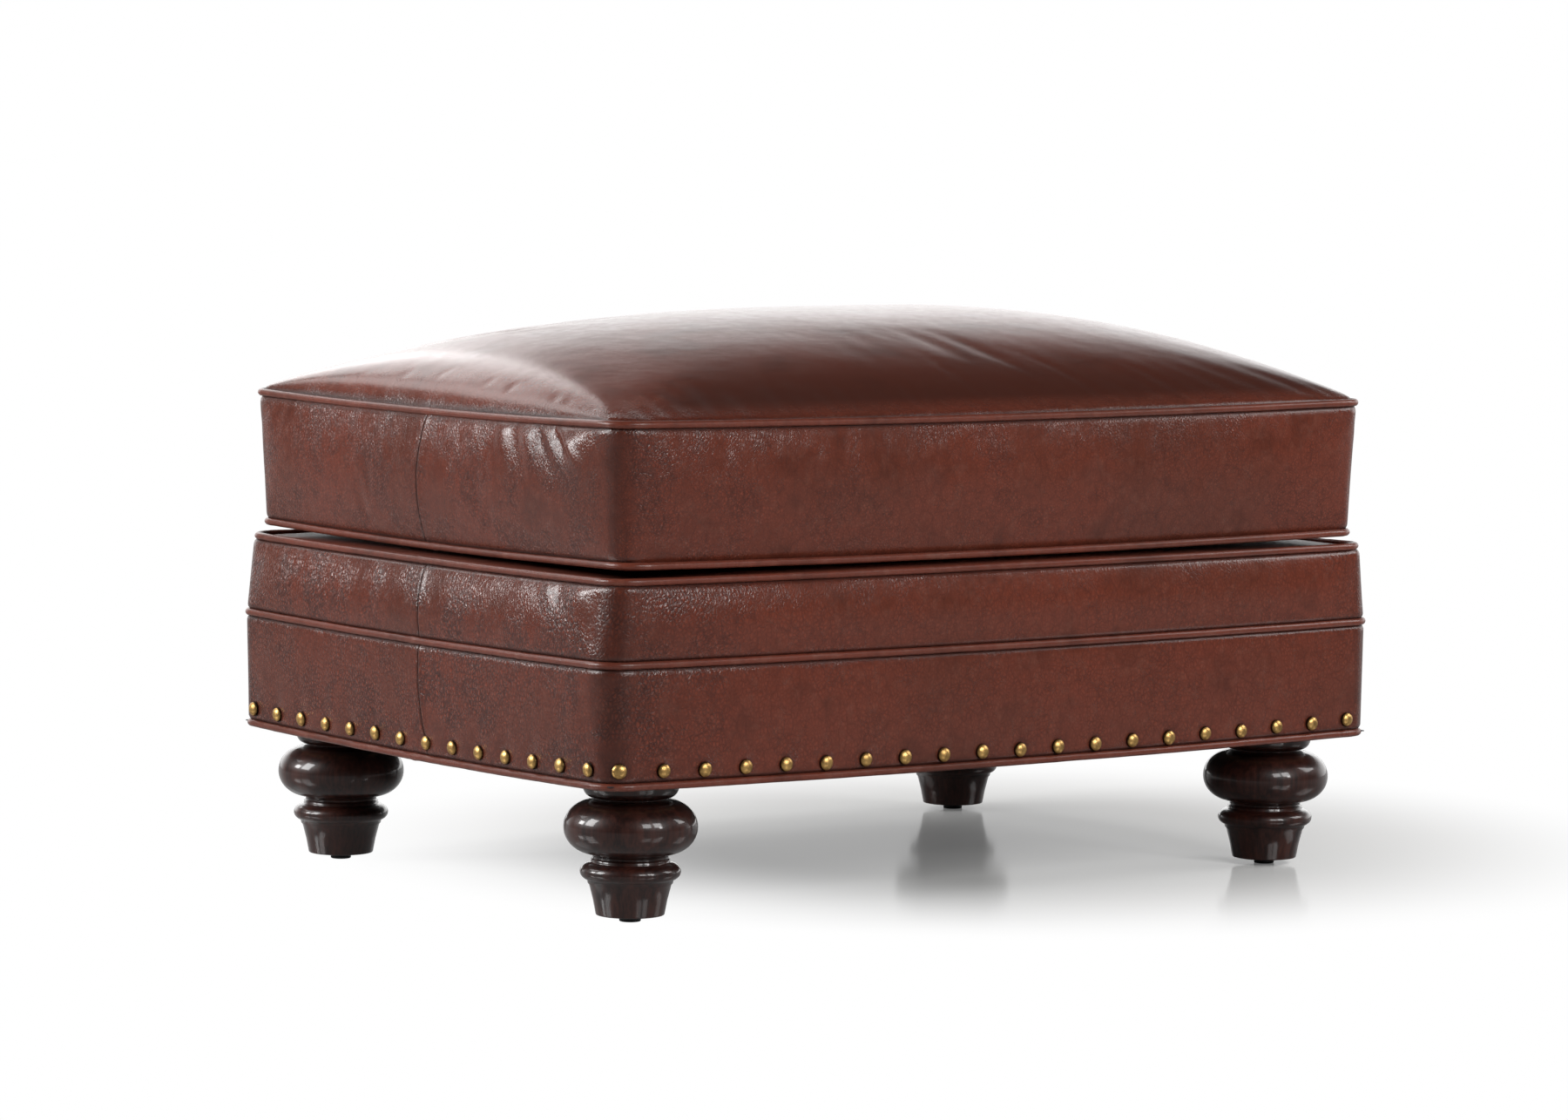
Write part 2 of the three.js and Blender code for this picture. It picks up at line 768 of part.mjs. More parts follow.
/** Places of the nails along one side, in equal steps. */
function nailRow(count, first, last) {
  const places = [];
  for (let index = 0; index < count; index += 1) {
    places.push(THREE.MathUtils.lerp(first, last, index / (count - 1)));
  }
  return places;
}

const nail_line = lower_band_face[1];
const nail_face_x = nail_line.half_length + nail_line.out;
const nail_face_y = nail_line.half_depth + nail_line.out;
const nail_first_x = bottom_edge.half_length - long_row_starts_in;
const nail_last_x = bottom_edge.half_length - long_row_ends_in;
const nail_reach_y = bottom_edge.half_depth - short_row_ends_in;

/** A nail on the back at a place along it. Past the flat, it sits on the corner arc and turns with it. */
function nailOnBack(x) {
  const arc = corner_radius + seam_stand;
  const past = Math.max(Math.abs(x) - (bottom_edge.half_length - corner_radius), 0);
  const turn = Math.asin(Math.min(past / arc, 1)) * Math.sign(x);
  const y = nail_face_y - arc * (1 - Math.cos(turn));
  return nail().rotateZ(Math.PI / 2 - turn).translate(x, y, nail_line.height);
}

/** The nails on one half of the lower band. The two long rows are each other turned half way round. */
function nailsOnHalf(along) {
  const half_turn = along > 0 ? 0 : Math.PI;
  const placed = nailRow(nails_on_long_side, nail_first_x, -nail_last_x)
    .map((x) => nailOnBack(x).rotateZ(half_turn));
  const short_row = nailRow(nails_on_short_side, -nail_reach_y, nail_reach_y);
  for (const y of short_row.filter((place) => place * along > 0)) {
    placed.push(nail().translate(nail_face_x, y, nail_line.height));
    placed.push(nail().rotateZ(Math.PI).translate(-nail_face_x, y, nail_line.height));
  }
  return placed;
}

for (const [side, along] of sides) {
  const bare_band = half(skin(lower_band_face), along);
  const nailed_band = nailsOnHalf(along).reduce((band, head) => band.add(solid(head)), bare_band);
  add(base, `lower_band_${side}`, shape(nailed_band), finish.leather);
  add(base, `upper_band_${side}`, shape(half(skin(upper_band_face), along)), finish.leather);
}

// Padding between the frame and the bands, clear of the welts and of the frame's square corners
const behind = -leather - clearance;
const inside_welt = -welt_radius - clearance;
const rail_face = {
  ...deck_seam,
  half_length: frame_half_length,
  half_depth: frame_half_depth,
  radius: eased_edge,
  out: clearance + (Math.SQRT2 - 1) * eased_edge,
};
const roll_top = deck_rim.height - leather - clearance;

/** A station set level at a height. */
function level(station, height) {
  return { ...station, height };
}

add(base, 'lower_padding', ring(
  [
    level(moved(bottom_edge, inside_welt), frame_bottom),
    level(moved(bottom_edge, inside_welt), lower_band_low.height),
    ...lower_band_face.map((station) => moved(station, behind)),
    level(moved(middle_seam, inside_welt), lower_band_high.height),
    level(moved(middle_seam, inside_welt), middle_seam_height - clearance),
  ],
  [level(rail_face, frame_bottom), level(rail_face, middle_seam_height - clearance)],
), finish.fibre);
add(base, 'upper_padding', ring(
  [
    level(moved(upper_band_low, behind), middle_seam_height),
    ...upper_band_face.map((station) => moved(station, behind)),
    level(moved(deck_seam, inside_welt), upper_band_high.height),
    level(moved(deck_seam, inside_welt), roll_top),
  ],
  [
    level(rail_face, middle_seam_height),
    level(rail_face, frame_top + clearance),
    level(roll_inner, frame_top + clearance),
    level(roll_inner, roll_top),
  ],
), finish.foam);

// Welts of the base
add(base, 'deck_welt', welt(deck_seam), finish.welt);
add(base, 'middle_welt', welt(middle_seam), finish.welt);
add(base, 'bottom_welt', welt(bottom_edge), finish.welt);

// Dust cover under the frame, cut out round the feet
const cover_rim = { ...moved(bottom_edge, -welt_radius - clearance), height: frame_bottom - clearance };
const cover_low = moved(cover_rim, 0, -dust_cover_thickness);
const foot_hole = post(flange_diameter + 2 * clearance, frame_bottom - cut_overrun, frame_bottom + cut_overrun,
  foot_sides);
let dust_cover = solid(panel([{ ...cover_low, share: 0 }, cover_low], [{ ...cover_rim, share: 0 }, cover_rim]));
for (const corner of corners) {
  const hole = foot_hole.clone().translate(corner.across * foot_x, corner.along * foot_y, 0);
  dust_cover = dust_cover.subtract(solid(hole));
}
add(base, 'dust_cover', shape(dust_cover), finish.cambric);

// Cushion cover: crowned top, boxing in two lengths, near-flat bottom, and a welt along both seams
const boxing_low = moved(cushion_bottom, seam_stand, welt_radius + clearance);
const boxing_high = moved(cushion_top, seam_stand, -welt_radius - clearance);
const boxing_face = boxing_shares.map((share) => between(boxing_low, boxing_high, share, boxing_bulge));
const top_rim = { ...moved(cushion_top, -welt_radius - clearance), leans: true };
const bottom_rim = moved(cushion_bottom, -welt_radius - clearance);
add(cushion, 'cushion_top_panel', panel(
  crowned(moved(top_rim, 0, -leather), cushion_crown),
  crowned(top_rim, cushion_crown),
), finish.leather);
add(cushion, 'cushion_bottom_panel', panel(
  crowned(moved(bottom_rim, 0, -leather / 2), cushion_belly, cushion_bottom_shares),
  crowned(moved(bottom_rim, 0, leather / 2), cushion_belly, cushion_bottom_shares),
), finish.leather);
for (const [side, along] of sides) {
  add(cushion, `cushion_boxing_${side}`, shape(half(skin(boxing_face), along)), finish.leather);
}
add(cushion, 'cushion_top_welt', welt(cushion_top), finish.welt);
add(cushion, 'cushion_bottom_welt', welt(cushion_bottom), finish.welt);

// Cushion filling: fibre below and above a foam core
const fill_bottom = cushion_bottom_height + leather / 2 + cushion_belly + clearance + cushion_corner_lift;
const wrap_top = fill_bottom + lower_wrap_thickness;
const foam_bottom = wrap_top + clearance;
const crown_rim = moved(top_rim, -leather, -leather - clearance);
const foam_top = crown_rim.height - upper_wrap_edge - clearance;

/** The inside of the boxing at a height, level all round. */
function fillStation(height) {
  const share = (height - boxing_low.height) / (boxing_high.height - boxing_low.height);
  const face = between(boxing_low, boxing_high, share, 0);
  return { ...face, out: face.out + behind, drawn: cushion_draw_in, height, lift: 0 };
}

/** A layer of filling with level faces, set in from the boxing. */
function fillLayer(low, high, set_in) {
  const under = moved(fillStation(low), -set_in);
  const over = moved(fillStation(high), -set_in);
  return panel([{ ...under, share: 0 }, under], [{ ...over, share: 0 }, over]);
}

add(cushion, 'lower_fibre_wrap', fillLayer(fill_bottom, wrap_top, welt_radius + clearance), finish.fibre);
add(cushion, 'foam_core', fillLayer(foam_bottom, foam_top, 0), finish.foam);
add(cushion, 'upper_fibre_wrap', panel(
  [
    { ...fillStation(foam_top + clearance), share: 0 },
    fillStation(foam_top + clearance),
    crown_rim,
  ],
  crowned(crown_rim, cushion_crown - fill_ease, crown_shares.slice(0, -1)),
), finish.fibre);

export default stool;
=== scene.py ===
# %% [markdown]
# This notebook dresses an upholstered leather footstool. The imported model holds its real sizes: a wooden
# frame with springs, the padding, two leather bands, four turned feet and a loose cushion. Each step makes
# the fine surface of one of these pieces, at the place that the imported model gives. Lengths are in metres.

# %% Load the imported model
import math
import random

import bmesh
import bpy
import numpy as np
from mathutils import Matrix, Vector


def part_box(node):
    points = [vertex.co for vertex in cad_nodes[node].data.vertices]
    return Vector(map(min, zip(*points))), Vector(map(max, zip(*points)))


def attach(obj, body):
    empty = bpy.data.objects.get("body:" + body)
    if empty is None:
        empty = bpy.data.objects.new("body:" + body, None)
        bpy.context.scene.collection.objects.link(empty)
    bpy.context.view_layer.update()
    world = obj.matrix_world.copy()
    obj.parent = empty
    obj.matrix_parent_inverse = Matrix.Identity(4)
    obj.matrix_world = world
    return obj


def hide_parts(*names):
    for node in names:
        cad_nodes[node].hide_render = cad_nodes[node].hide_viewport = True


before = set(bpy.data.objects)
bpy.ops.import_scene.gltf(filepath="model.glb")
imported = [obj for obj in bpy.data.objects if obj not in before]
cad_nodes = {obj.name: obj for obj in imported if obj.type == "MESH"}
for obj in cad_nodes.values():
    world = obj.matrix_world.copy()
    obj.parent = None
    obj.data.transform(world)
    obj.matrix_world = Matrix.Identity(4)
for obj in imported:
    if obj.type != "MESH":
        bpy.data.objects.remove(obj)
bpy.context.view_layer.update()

MM = 0.001

# %% [markdown]
# The camera comes first, because every later choice is judged through it. It stands a little above the
# seat, looks along a near corner, and uses a long lens, so that the upright edges stay almost parallel.

# %% Camera
CAMERA_PLACE = Vector((-2.7814, -3.8339, 0.6381))
CAMERA_YAW = math.radians(35.73)
CAMERA_PITCH = math.radians(4.64)
CAMERA_ROLL = math.radians(0.56)
CAMERA_LENS = 130
SENSOR_WIDTH = 36


def make_camera():
    """A camera that looks along its yaw, tipped down by its pitch."""
    camera = bpy.data.objects.new("camera", bpy.data.cameras.new("camera"))
    bpy.context.scene.collection.objects.link(camera)
    camera.data.lens = CAMERA_LENS
    camera.data.sensor_width = SENSOR_WIDTH
    camera.data.clip_end = 100
    turn = Matrix.Rotation(-CAMERA_YAW, 4, "Z") @ Matrix.Rotation(math.radians(90) - CAMERA_PITCH, 4, "X")
    camera.matrix_world = Matrix.Translation(CAMERA_PLACE) @ turn @ Matrix.Rotation(CAMERA_ROLL, 4, "Z")
    return camera


bpy.context.scene.camera = make_camera()
bpy.context.scene.view_settings.view_transform = "Standard"
print("camera lens", CAMERA_LENS, "mm")

# %% [markdown]
# A finish is a graph of shader nodes. Long graphs are hard to read as separate links, so two small classes
# let the sums be written as ordinary Python. A Wire stands for one output socket, and a Finish makes nodes.

# %% Shader maths
class Wire:
    """An output socket, on which sums are written as on a number."""

    def __init__(self, finish, socket):
        self.finish = finish
        self.socket = socket

    def maths(self, operation, *values, clamp=False):
        inputs = dict(enumerate(values))
        return self.finish.node("ShaderNodeMath", inputs, operation=operation, use_clamp=clamp)

    def __add__(self, other):
        return self.maths("ADD", self, other)

    __radd__ = __add__

    def __sub__(self, other):
        return self.maths("SUBTRACT", self, other)

    def __rsub__(self, other):
        return self.maths("SUBTRACT", other, self)

    def __mul__(self, other):
        return self.maths("MULTIPLY", self, other)

    __rmul__ = __mul__

    def __pow__(self, other):
        return self.maths("POWER", self, other)

    def sine(self):
        """The sine of an angle in radians."""
        return self.maths("SINE", self)

    def held(self):
        """The same value, held between 0 and 1."""
        return self.maths("ADD", self, 0, clamp=True)

    def step(self, low, high):
        """0 below low and 1 above high, with a smooth rise between them."""
        inputs = {0: self, 1: low, 2: high, 3: 0.0, 4: 1.0}
        return self.finish.node("ShaderNodeMapRange", inputs, interpolation_type="SMOOTHSTEP")


class Finish:
    """The nodes of a material or a world, made one by one round the node that gives its surface."""

    def __init__(self, name, owners=bpy.data.materials, surface="Principled BSDF"):
        self.owner = owners.new(name)
        self.owner.use_nodes = True
        self.tree = self.owner.node_tree
        self.surface = self.tree.nodes[surface]

    def node(self, kind, inputs=None, output=0, **settings):
        """Makes a node, sets its settings, fills its sockets and returns one of its outputs."""
        made = self.tree.nodes.new(kind)
        for name, value in settings.items():
            setattr(made, name, value)
        for name, value in (inputs or {}).items():
            self.fill(made.inputs[name], value)
        return Wire(self, made.outputs[output])

    def fill(self, socket, value):
        """Links a wire to a socket, or writes a constant on it."""
        if isinstance(value, Wire):
            self.tree.links.new(value.socket, socket)
        elif isinstance(value, tuple) and len(value) == 3 and socket.type == "RGBA":
            socket.default_value = (*value, 1)
        else:
            socket.default_value = value

    def set(self, **values):
        """Fills sockets of the surface, named with _ for a space."""
        for name, value in values.items():
            self.fill(self.surface.inputs[name.replace("_", " ")], value)

    def place(self):
        """Object coordinates, which stay with the piece when it moves."""
        return self.node("ShaderNodeTexCoord", output="Object")

    def stretched(self, place, scale):
        """Coordinates scaled by one number for each axis."""
        return self.node("ShaderNodeMapping", {"Vector": place, "Scale": scale})

    def noise(self, place, scale, detail=2.0, roughness=0.5):
        """A cloudy pattern between 0 and 1."""
        inputs = {"Vector": place, "Scale": scale, "Detail": detail, "Roughness": roughness}
        return self.node("ShaderNodeTexNoise", inputs)

    def warped(self, place, scale, amount):
        """Coordinates pushed about by a coloured noise."""
        inputs = {"Vector": place, "Scale": scale, "Detail": 1.0}
        push = self.node("ShaderNodeTexNoise", inputs, output="Color")
        centred = self.node("ShaderNodeVectorMath", {0: push, 1: (0.5, 0.5, 0.5)}, operation="SUBTRACT")
        scaled = self.node("ShaderNodeVectorMath", {0: centred, "Scale": amount}, operation="SCALE")
        return self.node("ShaderNodeVectorMath", {0: place, 1: scaled}, operation="ADD")

    def cells(self, place, scale):
        """How far a place lies from the nearest wall between scattered cells."""
        inputs = {"Vector": place, "Scale": scale}
        return self.node("ShaderNodeTexVoronoi", inputs, feature="DISTANCE_TO_EDGE")

    def mix(self, share, first, second):
        """One colour laid over another."""
        return self.node("ShaderNodeMix", {0: share, 6: first, 7: second}, output=2, data_type="RGBA")

    def axis(self, place, name):
        """One coordinate of a place."""
        return self.node("ShaderNodeSeparateXYZ", {0: place}, output=name)

    def relief(self, height):
        """Bumps the surface by a height in metres."""
        self.set(Normal=self.node("ShaderNodeBump", {"Height": height, "Distance": 1.0, "Strength": 1.0}))

    def stored(self, name):
        """A number that each point of the piece holds."""
        return self.node("ShaderNodeAttribute", output="Fac", attribute_name=name)


print("shader classes ready")

# %% [markdown]
# The stool stands on a pale floor that fades into a white surround. The floor keeps the soft shadow and the
# faint reflections of the feet, so only a share of it is painted white for the camera, and that share grows
# with the distance from the stool. In mirrored light the floor is darker than it looks, so that the dark
# leather and the feet mirror little of it. The surround lights the stool more from behind than from the
# front.

# %% Floor and surround
FLOOR_HALF = 12.0
FLOOR_COLOUR = (0.60, 0.598, 0.585)
FLOOR_MIRRORED_COLOUR = (0.20, 0.20, 0.20)
FLOOR_MIRROR, FLOOR_MIRROR_ROUGH = 0.16, 0.12
GREY_CENTRE = (0.22, 0.02, 0.0)
WHITE_NEAR = 0.10
WHITE_MIRRORED = 0.2
WHITE_STARTS, WHITE_COMPLETE = 0.24, 0.60
SURROUND_FRONT, SURROUND_BACK = 0.05, 1.75
GLOW_TURN = math.radians(8)
GLOW_SIDE_FADE = (0.35, 0.8)
GLOW_TOP_FADE = (0.20, 0.47)
WHITE = (1.0, 1.0, 1.0)


def make_floor():
    """A wide pale plane under the feet."""
    plane = bmesh.new()
    bmesh.ops.create_grid(plane, x_segments=1, y_segments=1, size=FLOOR_HALF)
    mesh = bpy.data.meshes.new("studio_floor")
    plane.to_mesh(mesh)
    plane.free()
    floor = bpy.data.objects.new("studio_floor", mesh)
    bpy.context.scene.collection.objects.link(floor)
    mesh.materials.append(floor_finish())


def floor_finish():
    """A pale, faintly glossy floor, painted white for the camera away from the stool's shadow."""
    finish = Finish("studio_floor")
    mirrored = finish.node("ShaderNodeLightPath", output="Is Glossy Ray")
    colour = finish.mix(mirrored, FLOOR_COLOUR, FLOOR_MIRRORED_COLOUR)
    finish.set(Base_Color=colour, Roughness=0.9, Specular_IOR_Level=0.0)
    away = finish.node("ShaderNodeVectorMath", {0: finish.place(), 1: GREY_CENTRE}, output="Value",
                       operation="DISTANCE")
    distant = away.step(WHITE_STARTS, WHITE_COMPLETE)
    seen = finish.node("ShaderNodeLightPath", output="Is Camera Ray")
    through = finish.node("ShaderNodeLightPath", output="Is Transmission Ray")
    share = (WHITE_NEAR + (1 - WHITE_NEAR) * distant) * seen
    share = share + WHITE_MIRRORED * distant * (mirrored + through).held()
    white = finish.node("ShaderNodeEmission", {"Color": WHITE, "Strength": 1.0})
    dull = Wire(finish, finish.surface.outputs[0])
    mirror = finish.node("ShaderNodeBsdfGlossy", {"Color": WHITE, "Roughness": FLOOR_MIRROR_ROUGH})
    lit = finish.node("ShaderNodeMixShader", {0: FLOOR_MIRROR, 1: dull, 2: mirror})
    both = finish.node("ShaderNodeMixShader", {0: share.held(), 1: lit, 2: white})
    finish.tree.links.new(both.socket, finish.tree.nodes["Material Output"].inputs["Surface"])
    return finish.owner


def make_surround():
    """White for the camera; for the stool's light, a glow low behind it and little else."""
    finish = Finish("studio", bpy.data.worlds, "Background")
    bpy.context.scene.world = finish.owner
    way = finish.node("ShaderNodeTexCoord", output="Generated")
    glow_way = CAMERA_YAW + GLOW_TURN
    back = (math.sin(glow_way), math.cos(glow_way), 0.0)
    behind = finish.node("ShaderNodeVectorMath", {0: way, 1: back}, output="Value", operation="DOT_PRODUCT")
    low = 1 - finish.axis(way, "Z").step(*GLOW_TOP_FADE)
    level = SURROUND_FRONT + (SURROUND_BACK - SURROUND_FRONT) * behind.step(*GLOW_SIDE_FADE) * low
    seen = finish.node("ShaderNodeLightPath", output="Is Camera Ray")
    finish.set(Color=WHITE, Strength=seen + (1 - seen) * level)


make_floor()
make_surround()
print("floor", 2 * FLOOR_HALF, "m wide")

# %% [markdown]
# Eight rectangular lamps light the leather. A soft box to the left and one at the front give the bright
# strokes beside the near corner and the small lights on each round foot. A screen beside each of them, a
# narrow strip and a weak screen at the right fill the upright faces. Two wide screens behind the stool are
# mirrored in the crown of the cushion. An upright face mirrors what is level with it, so the strong lamps
# hang high, where they leave it its own colour, and those that hang lower are small.

# %% Lamps
LAMP_TARGET = Vector((0, 0, 0.25))
SOFT_BOXES = {
    "left_soft_box": dict(way=(-0.96, 0.29), distance=2.6, height=1.45, width=0.8, tall=1.2, power=55),
    "left_screen": dict(way=(-0.82, 0.57), distance=2.45, height=0.98, width=0.45, tall=0.45, power=17),
    "front_soft_box": dict(way=(-0.18, -0.98), distance=2.8, height=1.55, width=0.7, tall=0.9, power=22),
    "front_screen": dict(way=(0.14, -0.99), distance=2.4, height=1.35, width=0.6, tall=0.8, power=20),
    "corner_strip": dict(way=(0.20, -0.98), distance=2.5, height=0.90, width=0.22, tall=0.30, power=5),
    "right_screen": dict(way=(0.87, -0.50), distance=1.5, height=0.95, width=0.6, tall=0.6, power=7.5),
    "back_left_screen": dict(way=(-0.50, 0.87), distance=2.1, height=1.80, width=1.5, tall=0.8, power=11),
    "back_screen": dict(way=(0.14, 0.99), distance=2.3, height=1.50, width=1.1, tall=1.1, power=10),
}


def soft_box(name, way, distance, height, width, tall, power):
    """A rectangular lamp that faces the stool and doesn't show itself."""
    lamp = bpy.data.lights.new(name, "AREA")
    lamp.shape = "RECTANGLE"
    lamp.size = width
    lamp.size_y = tall
    lamp.energy = power
    thing = bpy.data.objects.new(name, lamp)
    bpy.context.scene.collection.objects.link(thing)
    flat = Vector((*way, 0)).normalized() * distance
    thing.location = LAMP_TARGET + flat + Vector((0, 0, height - LAMP_TARGET.z))
    thing.rotation_euler = (LAMP_TARGET - thing.location).to_track_quat("-Z", "Y").to_euler()
    thing.visible_camera = False


for name, facts in SOFT_BOXES.items():
    soft_box(name, **facts)
print("lamps:", ", ".join(SOFT_BOXES))

# %% [markdown]
# The leather is an aged, brown-red hide. Three things make it read as leather: slow changes of colour from
# one patch to the next, a pebble grain that is strong in some areas and almost pulled flat in others, and a
# sheen that breaks up over the grain. The grain is a cell pattern with its coordinates pushed about, so that
# no cell is a tidy polygon, and its valleys are a little darker and rougher than the raised skin.

# %% Leather finish
HIDE_BROWN = (0.128, 0.033, 0.0195)
HIDE_RED = (0.160, 0.036, 0.020)
HIDE_DARK_AND_SHADE = (0.056, 0.014, 0.008)
HIDE_PALE = (0.185, 0.068, 0.046)
HIDE_VALLEY = (0.030, 0.0065, 0.004)
PAINTED_SHADE_BLACK = (0.012, 0.004, 0.003)
PEBBLE_STEEPNESS = 0.085
PEBBLE_SHOULDER = 2.4
VALLEY_STAIN, CREASE_STAIN = 0.8, 0.20
CREASE_HEIGHT = 0.08 * MM
PORE_HEIGHT = 0.012 * MM
HIDE_WAVE_HEIGHT = 0.42 * MM
LEFT_END_FADE = (-0.40, -0.20)
TOP_PANEL_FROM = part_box("cushion_top_welt")[1].z
TOP_PANEL_FULL = TOP_PANEL_FROM + 12 * MM
TOP_GRAIN = 0.25
CORNER_OF_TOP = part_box("cushion_top_welt")[0]
FRONT_SHADE_SIDE_FADE = (0.0, 60 * MM)
FRONT_SHADE_DEPTH_FADE = (20 * MM, 150 * MM)


def leather(name, pebbles=430, pebble=1.0, worn=0.5, rough=0.21, left_grain=0.3):
    """Aged brown-red leather. The grain grows towards the left end by left_grain, and is fine on the top."""
    finish = Finish(name)
    place = finish.place()
    on_top = finish.axis(place, "Z").step(TOP_PANEL_FROM, TOP_PANEL_FULL)
    painted_shade = finish.stored("painted_shade")
    patches = finish.noise(place, 5.5, detail=3, roughness=0.55)
    clouds = finish.noise(place, 21, detail=4, roughness=0.6)
    mottle = finish.noise(place, 95, detail=3, roughness=0.6)
    bent = finish.warped(finish.stretched(place, (1.0, 1.0, 0.8)), 0.5 * pebbles, 1.0 / pebbles)
    raised = (finish.cells(bent, pebbles) * PEBBLE_SHOULDER).held()
    crease_place = finish.warped(finish.stretched(place, (1.0, 1.0, 0.62)), 45, 16 * MM)
    crease = 1 - (finish.cells(crease_place, 105) * 7).held() ** 0.5
    pores = finish.noise(place, 1900, detail=2)
    wave = finish.noise(place, 26, detail=2, roughness=0.45)
    leftness = 1 - finish.axis(place, "X").step(*LEFT_END_FADE)
    area = (clouds.step(0.36, 0.62) * 0.6 + 0.4) * (1 - left_grain + left_grain * leftness)
    grain = area * pebble * (1 - (1 - TOP_GRAIN) * on_top)
    colour = finish.mix(patches.step(0.35, 0.65), HIDE_BROWN, HIDE_RED)
    colour = finish.mix((1 - clouds.step(0.30, 0.52)) * 0.55, colour, HIDE_DARK_AND_SHADE)
    colour = finish.mix(mottle.step(0.50, 0.72) * (worn * 0.5 + on_top * 0.25), colour, HIDE_PALE)
    valley = (1 - raised) * grain * VALLEY_STAIN + crease * CREASE_STAIN
    colour = finish.mix(valley.held(), colour, HIDE_VALLEY)
    # Painted shade: the top panel is darkened along its front edge, except towards the near left corner.
    from_left = finish.axis(place, "X") - CORNER_OF_TOP.x
    from_front = finish.axis(place, "Y") - CORNER_OF_TOP.y
    painted_front_shade = (from_left - from_front).step(*FRONT_SHADE_SIDE_FADE) * (1 - from_front.step(*FRONT_SHADE_DEPTH_FADE))
    colour = finish.mix(on_top * painted_front_shade, colour, HIDE_DARK_AND_SHADE)
    # Painted shade: near black beside the welts and nails, along the upright seam and round the corners; it
    # also roughens them.
    colour = finish.mix(painted_shade * 0.85, colour, PAINTED_SHADE_BLACK)
    roughness = rough + mottle * 0.10 - 0.05 + valley * 0.12 + painted_shade * painted_shade * 0.3
    height = raised * grain * (PEBBLE_STEEPNESS / pebbles) - crease * grain * CREASE_HEIGHT
    finish.relief(height + pores * PORE_HEIGHT + wave * HIDE_WAVE_HEIGHT)
    finish.set(Base_Color=colour, Roughness=roughness, IOR=1.40, Coat_Weight=0.12, Coat_Roughness=0.13)
    return finish.owner


cushion_leather = leather("cushion_leather")
band_leather = leather("band_leather", pebbles=330, pebble=1.1, left_grain=0.45)
deck_leather = leather("deck_leather", pebble=0.5, worn=0.2, rough=0.45)
welt_leather = leather("welt_leather", pebble=0.35, worn=0.9, rough=0.33)
print("leather finishes ready")

# %% [markdown]
# The feet are turned hardwood under a dark mahogany stain and a gloss lacquer. The wood's own figure only
# just shows: fine streaks that run up the foot, with a clear coat over them. Nails are antique brass, whose
# lacquer has darkened in blotches. The glides are plain black moulded discs.

# %% Finishes of the feet, glides and nails
STAIN_DARK = (0.0100, 0.0026, 0.0019)
STAIN_LIGHT = (0.046, 0.0125, 0.0078)
BRASS_BRIGHT = (0.60, 0.37, 0.13)
BRASS_DARK = (0.20, 0.105, 0.040)
NAIL_RIM_SHADE = (0.030, 0.014, 0.007)
PLASTIC_BLACK, PLASTIC_SCUFFED = (0.010, 0.009, 0.009), (0.045, 0.042, 0.040)


def lacquered_wood():
    """Dark stained and lacquered wood with its grain standing upright."""
    finish = Finish("lacquered_wood")
    place = finish.place()
    along = finish.warped(finish.stretched(place, (1.0, 1.0, 0.055)), 20, 4 * MM)
    streaks = finish.noise(along, 340, detail=4, roughness=0.65)
    broad = finish.noise(along, 60, detail=2)
    figure = streaks.step(0.38, 0.66) * 0.55 + broad.step(0.35, 0.7) * 0.45
    ripple = finish.noise(place, 55, detail=1)
    finish.relief(streaks * (0.012 * MM) + ripple * (0.05 * MM))
    finish.set(Base_Color=finish.mix(figure, STAIN_DARK, STAIN_LIGHT), Roughness=0.34 + streaks * 0.10)
    finish.set(IOR=1.35, Coat_Weight=0.85, Coat_Roughness=0.08, Coat_IOR=1.36)
    return finish.owner


def antique_brass():
    """Aged brass, bright on the crown of each head, with painted shade that makes it nearly black round its
    rim.
    """
    finish = Finish("antique_brass")
    place = finish.place()
    blotch = finish.noise(place, 210, detail=4, roughness=0.65)
    scuff = finish.noise(place, 900, detail=2)
    colour = finish.mix(blotch.step(0.42, 0.68) * 0.6, BRASS_BRIGHT, BRASS_DARK)
    # Painted shade round the rim of each head, where it meets the leather.
    colour = finish.mix(finish.stored("rim").step(0.7, 1.0), colour, NAIL_RIM_SHADE)
    finish.relief(scuff * (0.03 * MM) + blotch * (0.08 * MM))
    finish.set(Base_Color=colour, Metallic=1.0, Roughness=0.33 + blotch * 0.14)
    return finish.owner


def moulded_plastic():
    """Black moulded plastic, scuffed underneath."""
    finish = Finish("moulded_plastic")
    place = finish.place()
    scuff = finish.noise(place, 700, detail=3)
    colour = finish.mix(scuff.step(0.5, 0.75) * 0.5, PLASTIC_BLACK, PLASTIC_SCUFFED)
    finish.relief(scuff * (0.03 * MM))
    finish.set(Base_Color=colour, Roughness=0.45 + scuff * 0.2)
    return finish.owner


foot_lacquer = lacquered_wood()
nail_brass = antique_brass()
glide_plastic = moulded_plastic()
print("foot, nail and glide finishes ready")

# %% [markdown]
# What lies inside still has its own finish: planed hardwood with growth rings, zinc on the bolts and nuts,
# oiled spring wire, jute burlap and thin black cambric under the frame. The steel clips are part of the long
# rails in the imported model, so the rail finish turns to steel above the top of the rail.

# %% Finishes of the hidden pieces
RAIL_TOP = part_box("left_rail")[1].z
WOOD_PALE, WOOD_RING = (0.66, 0.48, 0.29), (0.47, 0.30, 0.16)
CLIP_STEEL = (0.42, 0.43, 0.44)


